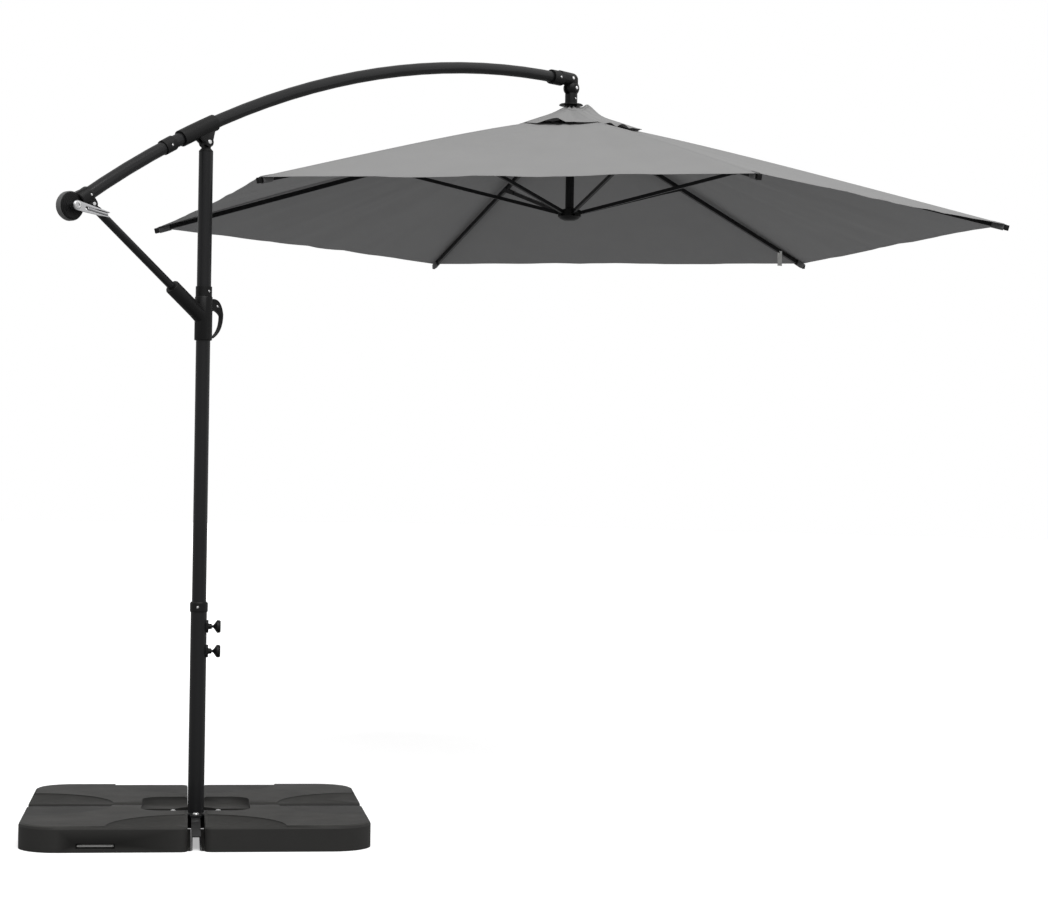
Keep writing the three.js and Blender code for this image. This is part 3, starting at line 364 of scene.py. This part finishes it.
def makeFinish(name):
    look = finishes[name]
    material, principled = newMaterial(name)
    tree = material.node_tree
    grain = placeGroup(tree, "grain", {
        "Scale": look["grain"], "Speckle": look["speckle"], "Unevenness": look["uneven"],
        "Roughness": look["rough"]})
    color = shaded(tree, look["color"], grain.outputs["Shade"])
    if look["dust"]:
        dust = placeGroup(tree, "dust", {"Amount": look["dust"]})
        tree.links.new(color, dust.inputs["Color"])
        color = dust.outputs["Color"]
    tree.links.new(color, principled.inputs["Base Color"])
    tree.links.new(grain.outputs["Roughness"], principled.inputs["Roughness"])
    principled.inputs["Metallic"].default_value = look["metal"]
    principled.inputs["Specular IOR Level"].default_value = finishGloss
    principled.inputs["Coat Weight"].default_value = look["coat"]
    bumped(tree, grain.outputs["Height"], principled, look["bump"], grainDepth)
    return material


# The inside colour "under" is the outside cloth made a little darker: painted shade for the canopy's
# underside.
clothLook = {
    "top": (0.245, 0.244, 0.243), "under": (0.232, 0.232, 0.235), "thread": (0.15, 0.15, 0.155),
    "tape": (0.02, 0.02, 0.021), "pocket": (0.105, 0.105, 0.107),
    "threads": 3600.0, "hemRows": (0.004, 0.016), "seamRows": (0.007, 0.0115),
}


def makeCloth(name, color):
    material, principled = newMaterial(name)
    tree = material.node_tree
    weave = placeGroup(tree, "weave", {"Threads": clothLook["threads"], "Variation": 0.12})
    cloth = shaded(tree, color, weave.outputs["Shade"])
    hem = addNode(tree, "ShaderNodeAttribute", attribute_name="hemDistance")
    seam = addNode(tree, "ShaderNodeAttribute", attribute_name="seamDistance")
    clothMap = addNode(tree, "ShaderNodeUVMap")
    split = addNode(tree, "ShaderNodeSeparateXYZ")
    tree.links.new(clothMap.outputs["UV"], split.inputs[0])
    for distance, along, rows in ((hem, "X", clothLook["hemRows"]), (seam, "Y", clothLook["seamRows"])):
        for row in rows:
            stitch = placeGroup(tree, "stitch", {"Row": row})
            tree.links.new(distance.outputs["Fac"], stitch.inputs["Distance"])
            tree.links.new(split.outputs[along], stitch.inputs["Along"])
            mixed = addNode(tree, "ShaderNodeMix", data_type="RGBA")
            tree.links.new(stitch.outputs["Thread"], mixed.inputs["Factor"])
            tree.links.new(cloth, mixed.inputs["A"])
            mixed.inputs["B"].default_value = (*clothLook["thread"], 1)
            cloth = mixed.outputs["Result"]
    tree.links.new(cloth, principled.inputs["Base Color"])
    principled.inputs["Roughness"].default_value = 0.88
    principled.inputs["Sheen Weight"].default_value = 0.12
    bumped(tree, weave.outputs["Height"], principled, 0.12, 0.0003)
    return material


def makeTape(name, color):
    # Doubled, closely woven cloth without a map of its own.
    material, principled = newMaterial(name)
    tree = material.node_tree
    grain = placeGroup(tree, "grain", {"Scale": 1900.0, "Speckle": 0.7, "Unevenness": 0.4, "Roughness": 0.9})
    tree.links.new(shaded(tree, color, grain.outputs["Shade"]), principled.inputs["Base Color"])
    tree.links.new(grain.outputs["Roughness"], principled.inputs["Roughness"])
    principled.inputs["Sheen Weight"].default_value = 0.1
    bumped(tree, grain.outputs["Height"], principled, 0.35, grainDepth)
    return material


materials = {name: makeFinish(name) for name in finishes}
materials["canopyTop"] = makeCloth("canopy cloth outside", clothLook["top"])
# The inside cloth is a darker copy of the outside cloth: painted shade.
materials["canopyUnder"] = makeCloth("canopy cloth inside with painted shade", clothLook["under"])
materials["tapeCloth"] = makeTape("seam tape", clothLook["tape"])
materials["pocketCloth"] = makeTape("pocket cloth", clothLook["pocket"])
print("materials made:", len(materials))


# Hard parts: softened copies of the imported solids.
mergeDistance = 2e-6
flatAngle, smoothAngle, bevelAngle = 0.4, 33, 38  # degrees
softEdges = {"default": 0.0006, "base_plate": 0.0, "boom_elbow": 0.0015, "crank_arm": 0.0008,
             "slider_body": 0.0012, "release_lever": 0.0018, "pivot_sleeve": 0.001,
             "crank_housing": 0.001, "hanger_socket": 0.001, "boom_tube": 0.0, "lower_mast": 0.0,
             "upper_mast": 0.0, "rib": 0.0007, "stretcher": 0.0007, "lifting_cord": 0.0}
hiddenNodes = [name for name in nodes if name.startswith("ballast")]
clothNodes = ["canopy_fabric", "vent_cap"]


def softenNode(name):
    # A merged copy with flat areas joined, shaded smooth up to its real edges, and these rounded a little.
    mesh = bmesh.new()
    mesh.from_mesh(nodes[name].data)
    bmesh.ops.remove_doubles(mesh, verts=mesh.verts, dist=mergeDistance)
    bmesh.ops.dissolve_limit(mesh, angle_limit=math.radians(flatAngle), verts=mesh.verts, edges=mesh.edges)
    copy = newObject(name + "_skin", mesh, smoothAngle)
    keys = [key for key in softEdges if name.startswith(key)]
    width = softEdges[max(keys, key=len)] if keys else softEdges["default"]
    if width:
        bevel = copy.modifiers.new("edges", "BEVEL")
        bevel.width = width
        bevel.segments = 2
        bevel.limit_method = "ANGLE"
        bevel.angle_limit = math.radians(bevelAngle)
        bevel.harden_normals = True
    copy.data.materials.clear()
    copy.data.materials.append(materials[slotOf[name]])
    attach(copy, bodyOf[name])
    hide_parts(name)


def softenFrame():
    for name in nodes:
        if name in clothNodes:
            continue
        if name in hiddenNodes:
            nodes[name].data.materials.clear()
            nodes[name].data.materials.append(materials[slotOf[name]])
            continue
        softenNode(name)


# Canopy cloth and vent cap.
canopy = {
    "ribs": 6, "turn": 2.4, "slope": 14.25, "hinge": 0.024, "clear": 0.0098,
    "inner": 0.110, "outer": 1.494, "sag": 0.016, "hemIn": 0.021, "thickness": 0.0008,
    "across": 15, "along": 64, "keep": 0.12, "wrinkle": 0.0042, "dome": 0.014, "hingeUp": 0.016,
}
crownLow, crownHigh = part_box("crown")
axisX = (crownLow.x + crownHigh.x) / 2
crownRadius = (crownHigh.x - crownLow.x) / 2
hingeZ = crownLow.z + canopy["hingeUp"]  # height of the rib hinges, from the crown's underside
tanSlope = math.tan(math.radians(canopy["slope"]))


def ribAngle(index):
    return math.radians(canopy["turn"] + 360 / canopy["ribs"] * index)


def hexPlace(x, y):
    # Corner radius of the six-sided ring through a point, and how near a rib it is: 0 midway, 1 on it.
    turn = math.atan2(y, x) - math.radians(canopy["turn"])
    panel = math.radians(360 / canopy["ribs"])
    offset = (turn % panel) - panel / 2
    radius = math.hypot(x, y)
    ring = radius * math.cos(offset) / math.cos(panel / 2)
    across = abs(radius * math.sin(offset)) / max(ring / 2, 1e-6)
    return ring, min(across, 1.0)


def coneHeight(ring):
    return hingeZ + canopy["clear"] - (ring - canopy["hinge"]) * tanSlope


def canopyHeight(x, y):
    ring, near = hexPlace(x, y)
    share = (ring - canopy["inner"]) / (canopy["outer"] - canopy["inner"])
    free = 1 - near ** 2
    sag = canopy["sag"] * free * math.sin(math.pi * min(max(share * 0.8 + 0.12, 0), 1))
    turn = math.atan2(y, x)
    rays = noise.noise(Vector((math.cos(turn) * 9, math.sin(turn) * 9, ring * 1.6)))
    creases = noise.noise(Vector((math.cos(turn) * 26, math.sin(turn) * 26, ring * 3.1 + 7)))
    soft = noise.noise(Vector((x * 2.3, y * 2.3, 3.7)))
    pull = canopy["wrinkle"] * free * (rays + 0.45 * creases * share + 1.3 * soft)
    dome = canopy["dome"] * math.sin(math.pi * min(max(share, 0), 1) ** 0.62)
    return coneHeight(ring) + dome - sag + pull


def surfaceNormal(height, x, y, step=0.004):
    slopeX = (height(x + step, y) - height(x - step, y)) / (2 * step)
    slopeY = (height(x, y + step) - height(x, y - step)) / (2 * step)
    return Vector((-slopeX, -slopeY, 1)).normalized()


def noteDistance(data, label, values):
    layer = data.attributes.new(label, "FLOAT", "POINT")
    layer.data.foreach_set("value", values)


def sewPanel(name, index, height, inner, outer, hemIn, along, across):
    # A kite of cloth centred on a rib, between the middles of the panels on its two sides.
    angle = ribAngle(index)
    out = Vector((math.cos(angle), math.sin(angle), 0))
    side = Vector((-out.y, out.x, 0))
    half = math.radians(180 / canopy["ribs"])
    mesh = bmesh.new()
    mapLayer = mesh.loops.layers.uv.new("UVMap")
    grid, facts = [], {}
    for row in range(along + 1):
        share = row / along
        line = []
        for column in range(-across, across + 1):
            u = column / across
            free = 1 - (1 - abs(u)) ** 2
            rim = outer * (1 - hemIn / outer * free)
            corner = inner + (rim - inner) * share
            reach = corner * (1 - abs(u) * math.sin(half) ** 2)
            tangent = corner * math.cos(half) * math.sin(half) * u
            spot = out * reach + side * tangent
            vert = mesh.verts.new((spot.x, spot.y, height(spot.x, spot.y)))
            facts[vert] = (tangent, (rim - corner) * math.cos(half), corner)
            line.append(vert)
        grid.append(line)
    for lower, upper in zip(grid, grid[1:]):
        for a, b, c, d in zip(lower, upper, upper[1:], lower[1:]):
            face = mesh.faces.new((a, b, c, d))
            face.smooth = True
            for loop in face.loops:
                loop[mapLayer].uv = (facts[loop.vert][0], facts[loop.vert][2])
    copied = bmesh.ops.duplicate(mesh, geom=mesh.verts[:] + mesh.edges[:] + mesh.faces[:])
    pairs = copied["vert_map"]
    under = [item for item in copied["geom"] if isinstance(item, bmesh.types.BMFace)]
    for vert in list(facts):
        facts[pairs[vert]] = facts[vert]
        vert.co.z += canopy["thickness"]
    bmesh.ops.reverse_faces(mesh, faces=under)
    for face in under:
        face.material_index = 1
    bmesh.ops.bridge_loops(mesh, edges=[edge for edge in mesh.edges if edge.is_boundary])
    mesh.verts.index_update()
    below = {vert.index for line in grid for vert in (pairs[v] for v in line)}
    hem = [facts[vert][1] for vert in mesh.verts]
    seam = [abs(facts[vert][0]) for vert in mesh.verts]
    made = newObject(name, mesh)
    data = made.data
    noteDistance(data, "hemDistance", hem)
    noteDistance(data, "seamDistance", seam)
    normals = [surfaceNormal(height, v.co.x, v.co.y) * (-1 if v.index in below else 1) for v in data.vertices]
    data.normals_split_custom_set_from_vertices(normals)
    data.transform(Matrix.Translation((axisX, 0, 0)))
    data.materials.append(materials["canopyTop"])
    # The lower layer takes the inside cloth, which is painted a little darker as shade.
    data.materials.append(materials["canopyUnder"])
    body = f"rib_{index + 1}"
    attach(made, body)
    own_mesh(made)
    return made


def addCanopy():
    for index in range(canopy["ribs"]):
        panel = sewPanel(f"canopy_panel_{index + 1}", index, canopyHeight, canopy["inner"], canopy["outer"],
                         canopy["hemIn"], canopy["along"], canopy["across"])
        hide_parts("canopy_fabric")


vent = {"inner": 0.062, "outer": 0.250, "lift": 0.016, "rise": 0.080, "hole": 0.0235, "hemIn": 0.004,
        "bunch": 0.027, "bunchAt": (0.036, -0.046), "bunchSize": (0.016, 0.034), "ripple": 0.014,
        "least": 0.0035, "disc": 0.0545, "along": 16, "across": 9}
ventGather = {"steps": 48, "layers": 7, "overlap": 0.004, "tuck": 0.004, "tucks": 12, "above": 0.0006}


def ventHeight(x, y):
    # A gathered cone that lies on the canopy here and there, with a puckered fold on one side of the hanger.
    ring, near = hexPlace(x, y)
    turn = math.atan2(y, x)
    edge = coneHeight(vent["outer"]) + vent["lift"]
    share = min(max((ring - vent["hole"]) / (vent["outer"] - vent["hole"]), 0), 1)
    base = edge + vent["rise"] * (1 - share) ** 1.15
    ripple = noise.noise(Vector((math.cos(turn) * 3.4, math.sin(turn) * 3.4, 1.3)))
    fine = noise.noise(Vector((math.cos(turn) * 8, math.sin(turn) * 8, ring * 9)))
    wave = vent["ripple"] * share * (ripple * 1.5 + 0.5 * fine) * (1.2 - near * 0.5)
    dx, dy = x - vent["bunchAt"][0], y - vent["bunchAt"][1]
    away = Vector(vent["bunchAt"]).normalized()
    outwards, sideways = dx * away.x + dy * away.y, dy * away.x - dx * away.y
    wide = vent["bunchSize"][0] if outwards < 0 else vent["bunchSize"][1]
    fold = vent["bunch"] * math.exp(-(outwards / wide) ** 2 - abs(sideways / vent["bunchSize"][1]) ** 1.4)
    closeIn = max(0.0, 1 - max(math.hypot(x, y) - crownRadius, 0) / 0.012)
    free = base + wave + fold
    under = hingeZ + vent["disc"]
    held = free + (min(free, under) - free) * closeIn
    return max(held, canopyHeight(x, y) + vent["least"])


def addVentCap():
    for index in range(canopy["ribs"]):
        flap = sewPanel(f"vent_flap_{index + 1}", index, ventHeight, vent["inner"], vent["outer"],
                        vent["hemIn"], vent["along"], vent["across"])
        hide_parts("vent_cap")
    mesh = bmesh.new()
    steps, layers = ventGather["steps"], ventGather["layers"]
    panel = math.radians(360 / canopy["ribs"])
    rings = []
    for row in range(layers + 1):
        ring = []
        for step in range(steps):
            turn = 2 * math.pi * step / steps
            offset = ((turn - math.radians(canopy["turn"])) % panel) - panel / 2
            hexed = (vent["inner"] + ventGather["overlap"]) * math.cos(panel / 2) / math.cos(offset)
            radius = vent["hole"] + (hexed - vent["hole"]) * row / layers
            x, y = radius * math.cos(turn), radius * math.sin(turn)
            tuck = ventGather["tuck"] * math.cos(ventGather["tucks"] * turn) * (1 - row / layers)
            ring.append(mesh.verts.new((x + axisX, y, ventHeight(x, y) + ventGather["above"] + tuck)))
        rings.append(ring)
    for lower, upper in zip(rings, rings[1:]):
        for step in range(steps):
            after = (step + 1) % steps
            mesh.faces.new((lower[step], upper[step], upper[after], lower[after]))
    top = newObject("vent_gather", mesh, 60)
    solid = top.modifiers.new("cloth", "SOLIDIFY")
    solid.thickness = canopy["thickness"]
    solid.offset = 1
    top.data.materials.append(materials["canopyTop"])
    for label in ("hemDistance", "seamDistance"):  # far from any stitching
        noteDistance(top.data, label, [1.0] * len(top.data.vertices))
    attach(top, "hanger")


# Small fittings.
boomArc = {"centre": Vector((1.602, 0, -1.21646)), "radius": 3.665}
crankSide = Vector((0, -1, 0))


def onBoom(x, along, side):
    # A point beside the boom's axis at a distance x from the mast.
    angle = math.asin((x - boomArc["centre"].x) / boomArc["radius"])
    spot = Vector((along, side, boomArc["radius"]))
    return Matrix.Rotation(angle, 3, "Y") @ spot + boomArc["centre"]


def centreOf(node):
    low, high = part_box(node)
    return (low + high) / 2


def spun(points, steps=24):
    # A solid turned about Z, from a profile of (radius, z) that ends on the axis or closes on itself.
    mesh = bmesh.new()
    verts = [mesh.verts.new((r, 0, z)) for r, z in points]
    edges = [mesh.edges.new(pair) for pair in zip(verts, verts[1:])]
    if points[0][0] > 0:
        edges.append(mesh.edges.new((verts[-1], verts[0])))
    bmesh.ops.spin(mesh, geom=verts + edges, cent=(0, 0, 0), axis=(0, 0, 1), angle=2 * math.pi,
                   steps=steps, use_merge=True)
    bmesh.ops.remove_doubles(mesh, verts=mesh.verts, dist=1e-7)
    bmesh.ops.recalc_face_normals(mesh, faces=mesh.faces)
    return mesh


def placed(mesh, spot, axis):
    turn = Vector(axis).to_track_quat("Z", "Y").to_matrix().to_4x4()
    bmesh.ops.transform(mesh, matrix=Matrix.Translation(spot) @ turn, verts=mesh.verts)
    return mesh


def fitted(name, mesh, finish, body, smooth=40):
    made = newObject(name, mesh, smooth)
    made.data.materials.append(materials[finish])
    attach(made, body)


def addRivet(name, spot, axis, radius, body):
    # A domed head with a shallow drive-in dimple and a flat washer rim.
    dome = [(radius * math.sin(math.radians(a)) * 0.86, radius * 0.5 * math.cos(math.radians(a)))
            for a in range(20, 91, 14)]
    profile = [(0, radius * 0.38), (radius * 0.16, radius * 0.40)] + dome + [
        (radius, radius * 0.06), (radius, -radius * 0.4), (0, -radius * 0.4)]
    fitted(name, placed(spun(profile), spot, axis), "rivet_steel", body)


boomRivets = [  # name, distance from the mast, shift along the boom, distance to the side, head radius
    ("rivet_rear_collar", -0.447, 0.012, -0.0243, 0.0036),
    ("rivet_stop_collar", -0.145, 0.0, -0.0226, 0.0034),
    ("rivet_elbow", 1.568, 0.0, -0.0251, 0.0042),
    ("rivet_elbow_far", 1.568, 0.0, 0.0251, 0.0042),
]
rivets = {"head": 0.0036, "ringHead": 0.0034, "socketFlat": 0.0215, "socketUp": 0.080,
          "leverPin": (0.042, 0.0141, 1.548), "stopRing": (0.0, -0.0244, 1.590),
          "collarOut": 0.0266, "collarUp": 0.655, "collarWay": (-0.744, -0.668, 0)}


def addRivets():
    for name, x, along, side, radius in boomRivets:
        addRivet(name, onBoom(x, along, side), crankSide if side < 0 else -crankSide, radius, "boom")
    addRivet("rivet_stop_ring", rivets["stopRing"], crankSide, rivets["ringHead"], "mast")
    x, y, z = rivets["leverPin"]
    addRivet("rivet_lever", (x, -y, z), crankSide, rivets["head"], "slider")
    addRivet("rivet_lever_far", (x, y, z), -crankSide, rivets["head"], "slider")
    onSocket = (centreOf("hanger_socket").x, -rivets["socketFlat"], hingeZ + rivets["socketUp"])
    addRivet("rivet_socket", onSocket, crankSide, rivets["head"], "hanger")
    facing = Vector(rivets["collarWay"])
    collar = facing * rivets["collarOut"] + Vector((0, 0, rivets["collarUp"]))
    addRivet("rivet_joint_collar", collar, facing, rivets["ringHead"], "base")


crankDisc = {"radius": 0.041, "face": 0.013, "rings": (0.0375, 0.0325, 0.0265, 0.0205)}


def addCrankDisc():
    # A pale rim round the disc's edge and fine raised rings on both of its faces.
    low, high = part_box("cord_reel")
    centre = Vector(((low.x + high.x) / 2, 0, (low.z + high.z) / 2))
    edge, face = crankDisc["radius"], crankDisc["face"]
    half = [(edge - 0.0012, 0), (edge - 0.0022, face - 0.0038), (edge - 0.0014, face - 0.0030),
            (edge, face - 0.0056), (edge + 0.0008, face - 0.0068)]
    rim = half + [(radius, -z) for radius, z in reversed(half[1:])]
    fitted("crank_disc_rim", placed(spun(rim, 56), centre, crankSide), "rim_plastic", "boom")
    for label, side in (("near", crankSide), ("far", -crankSide)):
        for number, radius in enumerate(crankDisc["rings"]):
            ring = [(radius - 0.0009, face - 0.0004), (radius + 0.0009, face - 0.0004),
                    (radius + 0.0006, face + 0.0006), (radius - 0.0006, face + 0.0006)]
            fitted(f"crank_disc_ring_{label}_{number + 1}", placed(spun(ring, 48), centre, side),
                   "black_plastic", "boom")
    cap = [(0, 0.0014), (0.0035, 0.0012), (0.0056, 0.0002), (0.0056, -0.0012), (0, -0.0012)]
    fitted("crank_screw", placed(spun(cap), (centre.x, low.y - 0.0006, centre.z), crankSide),
           "copper", "reel")
    washer = [(0.0066, 0.0012), (0.0105, 0.0012), (0.0118, 0.0002), (0.0118, -0.0008), (0.0066, -0.0008)]
    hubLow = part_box("crank_arm")[0].y
    fitted("crank_washer", placed(spun(washer, 32), (centre.x, hubLow - 0.0006, centre.z), crankSide),
           "rivet_steel", "reel")


def extrudeRing(mesh, edges):
    # The next ring of an open tube: its vertices, and the edges to go on from.
    made = bmesh.ops.extrude_edge_only(mesh, edges=edges)["geom"]
    verts = [item for item in made if isinstance(item, bmesh.types.BMVert)]
    onward = [item for item in made if isinstance(item, bmesh.types.BMEdge)
              and all(vert in verts for vert in item.verts)]
    return verts, onward


dropCord = {"radius": 0.002, "sides": 8, "rings": 20, "underPin": 0.004}


def addDropCord():
    # The lifting cord from the elbow through the hanger and the crown to its stopper in the runner's tube.
    stopper = centreOf("cord_stopper")
    top = Vector((axisX, 0, centreOf("knuckle_pin").z - dropCord["underPin"]))
    mesh = bmesh.new()
    circle = bmesh.ops.create_circle(mesh, cap_ends=False, radius=dropCord["radius"],
                                     segments=dropCord["sides"])
    bmesh.ops.translate(mesh, vec=top, verts=circle["verts"])
    edges = mesh.edges[:]
    step = (stopper.z - top.z) / dropCord["rings"]
    for ring in range(dropCord["rings"]):
        verts, edges = extrudeRing(mesh, edges)
        bmesh.ops.translate(mesh, vec=(0, 0, step), verts=verts)
    bmesh.ops.holes_fill(mesh, edges=[edge for edge in mesh.edges if edge.is_boundary])
    bmesh.ops.recalc_face_normals(mesh, faces=mesh.faces)
    cord = newObject("drop_cord", mesh, 60)
    cord.data.materials.append(materials["cord"])
    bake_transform(cord)


ribBar = {"tip": 1.5, "height": 0.016, "width": 0.009}
ribLength = (ribBar["tip"] - canopy["hinge"]) / math.cos(math.radians(canopy["slope"]))
ribCap = {"length": 0.014, "past": 0.0016, "over": 0.001, "above": 0.0008, "round": 0.0009}
ribPocket = {"reach": 0.058, "short": 0.016, "side": 0.0028, "above": 0.0022, "squarer": 0.16,
             "thickness": 0.0009, "sides": 20, "swell": (1.0, 1.06, 1.0, 1.04, 0.98, 1.0)}


def ribFrame(index):
    # From a rib's own frame, X along it from its hinge, to the parasol's.
    turn = Matrix.Rotation(ribAngle(index), 4, "Z")
    slope = Matrix.Rotation(math.radians(canopy["slope"]), 4, "Y")
    return (Matrix.Translation((axisX, 0, hingeZ)) @ turn
            @ Matrix.Translation((canopy["hinge"], 0, 0)) @ slope)


def boxSolid(low, high, rounding, segments=2):
    mesh = bmesh.new()
    bmesh.ops.create_cube(mesh, size=1)
    size = Vector(high) - Vector(low)
    middle = (Vector(high) + Vector(low)) / 2
    place = Matrix.Translation(middle) @ Matrix.Diagonal((*size, 1))
    bmesh.ops.transform(mesh, matrix=place, verts=mesh.verts)
    bmesh.ops.bevel(mesh, geom=mesh.edges[:], offset=rounding, segments=segments, profile=0.5,
                    affect="EDGES", material=-1)
    return mesh


def addRibCap(index):
    # The black cap on a rib's end.
    tall, wide = ribBar["height"] / 2, ribBar["width"] / 2
    cap = boxSolid((ribLength - ribCap["length"], -wide - ribCap["over"], -tall - ribCap["over"]),
                   (ribLength + ribCap["past"], wide + ribCap["over"], tall + ribCap["above"]),
                   ribCap["round"])
    bmesh.ops.transform(cap, matrix=ribFrame(index), verts=cap.verts)
    fitted(f"rib_end_{index + 1}", cap, "black_plastic", f"rib_{index + 1}")


def addRibPocket(index):
    # The sleeve of doubled cloth that slips over a rib's end.
    tall, wide = ribBar["height"] / 2 + ribPocket["above"], ribBar["width"] / 2 + ribPocket["side"]
    deep = ribPocket["reach"] - ribPocket["short"]
    body = f"rib_{index + 1}"
    mesh = bmesh.new()
    bmesh.ops.create_circle(mesh, cap_ends=False, radius=1, segments=ribPocket["sides"])
    bmesh.ops.transform(mesh, matrix=Matrix.Diagonal((wide, tall, 1, 1)), verts=mesh.verts)
    for vert in mesh.verts:
        x, y = vert.co.x, vert.co.y
        squarer = 1 + ribPocket["squarer"] * (2 * abs(x * y) / (wide * tall))
        vert.co = Vector((ribLength - ribPocket["reach"], x * squarer, y * squarer))
    edges = mesh.edges[:]
    for grow in ribPocket["swell"]:
        verts, edges = extrudeRing(mesh, edges)
        for vert in verts:
            vert.co.x += deep / len(ribPocket["swell"])
            vert.co.y *= grow
    bmesh.ops.recalc_face_normals(mesh, faces=mesh.faces)
    bmesh.ops.transform(mesh, matrix=ribFrame(index), verts=mesh.verts)
    pocket = newObject(f"rib_pocket_{index + 1}", mesh, 60)
    shell = pocket.modifiers.new("cloth", "SOLIDIFY")
    shell.thickness = ribPocket["thickness"]
    shell.offset = 1
    pocket.data.materials.append(materials["pocketCloth"])
    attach(pocket, body)


def addRibEnds():
    for index in range(canopy["ribs"]):
        addRibCap(index)
        addRibPocket(index)


careLabel = {"rib": 0, "width": 0.018, "drop": 0.058, "from": 1.335, "beside": -0.0065, "below": 0.0005,
             "facing": (0.75, -0.66, 0), "curl": 0.006, "flutter": 0.0016, "thickness": 0.0005}


def addLabel():
    # A blank care label that hangs beside the rib that points away from the mast.
    mesh = bmesh.new()
    bmesh.ops.create_grid(mesh, x_segments=4, y_segments=14, size=0.5)
    spot = ribFrame(careLabel["rib"]) @ Vector((careLabel["from"], careLabel["beside"], -careLabel["below"]))
    across = Vector(careLabel["facing"]).normalized()
    sideways = Vector((-across.y, across.x, 0))
    for vert in mesh.verts:
        u, v = vert.co.x, 0.5 - vert.co.y
        curl = careLabel["curl"] * math.sin(v * 3.0) + careLabel["flutter"] * math.sin(v * 8 + u * 3)
        drop = Vector((0, 0, v * careLabel["drop"]))
        vert.co = spot + across * (u * careLabel["width"]) + sideways * curl - drop
    bmesh.ops.recalc_face_normals(mesh, faces=mesh.faces)
    label = newObject("care_label", mesh, 60)
    shell = label.modifiers.new("cloth", "SOLIDIFY")
    shell.thickness = careLabel["thickness"]
    label.data.materials.append(materials["label_cloth"])
    number = careLabel["rib"] + 1
    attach(label, f"rib_{number}")


gripBar = {"turn": -40, "half": 0.490, "fromCorner": 0.215, "width": 0.100, "height": 0.0065, "lift": 0.0145,
           "in": 0.009, "depth": 0.0055, "round": 0.0014}


def addGripBars():
    # The pale lips inside the hand grips of the four plates.
    middle = gripBar["half"] - gripBar["fromCorner"]
    front = gripBar["half"] - gripBar["in"]
    for index in range(4):
        bar = boxSolid((middle - gripBar["width"] / 2, front - gripBar["depth"], gripBar["lift"]),
                       (middle + gripBar["width"] / 2, front, gripBar["lift"] + gripBar["height"]),
                       gripBar["round"], 3)
        turn = Matrix.Rotation(math.radians(gripBar["turn"] + 90 * index), 4, "Z")
        bmesh.ops.transform(bar, matrix=turn, verts=bar.verts)
        fitted(f"grip_lip_{index + 1}", bar, "pale_bar", "base")


seamTape = {"from": 0.12, "shortOfTip": 0.075, "half": 0.0085, "above": 0.0004, "droop": 0.0030, "rows": 24,
            "puff": 0.0003, "thickness": 0.0005, "flatWidth": 0.018}


def addTapes():
    # A narrow dark tape along the top of each rib, under the cloth.
    length = ribLength - seamTape["from"] - seamTape["shortOfTip"]
    for index in range(canopy["ribs"]):
        mesh = bmesh.new()
        for row in range(seamTape["rows"] + 1):
            x = seamTape["from"] + length * row / seamTape["rows"]
            for side in (-1, 0, 1):
                puff = seamTape["puff"] * math.sin(row * 1.9 + side)
                height = ribBar["height"] / 2 + seamTape["above"] + puff - abs(side) * seamTape["droop"]
                mesh.verts.new((x, side * seamTape["half"], height))
        mesh.verts.ensure_lookup_table()
        for row in range(seamTape["rows"]):
            for side in range(2):
                a = row * 3 + side
                mesh.faces.new([mesh.verts[i] for i in (a, a + 3, a + 4, a + 1)])
        bmesh.ops.recalc_face_normals(mesh, faces=mesh.faces)
        bmesh.ops.transform(mesh, matrix=ribFrame(index), verts=mesh.verts)
        tape = newObject(f"seam_tape_{index + 1}", mesh, 60)
        shell = tape.modifiers.new("cloth", "SOLIDIFY")
        shell.thickness = seamTape["thickness"]
        shell.offset = 0
        tape.data.materials.append(materials["tapeCloth"])
        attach(tape, f"rib_{index + 1}")


addCamera()
addStudio()
softenFrame()
print("frame finished")
addCanopy()
addVentCap()
addTapes()
addRibEnds()
addLabel()
print("canopy sewn")
addRivets()
addCrankDisc()
addGripBars()
addDropCord()
print("fittings placed")
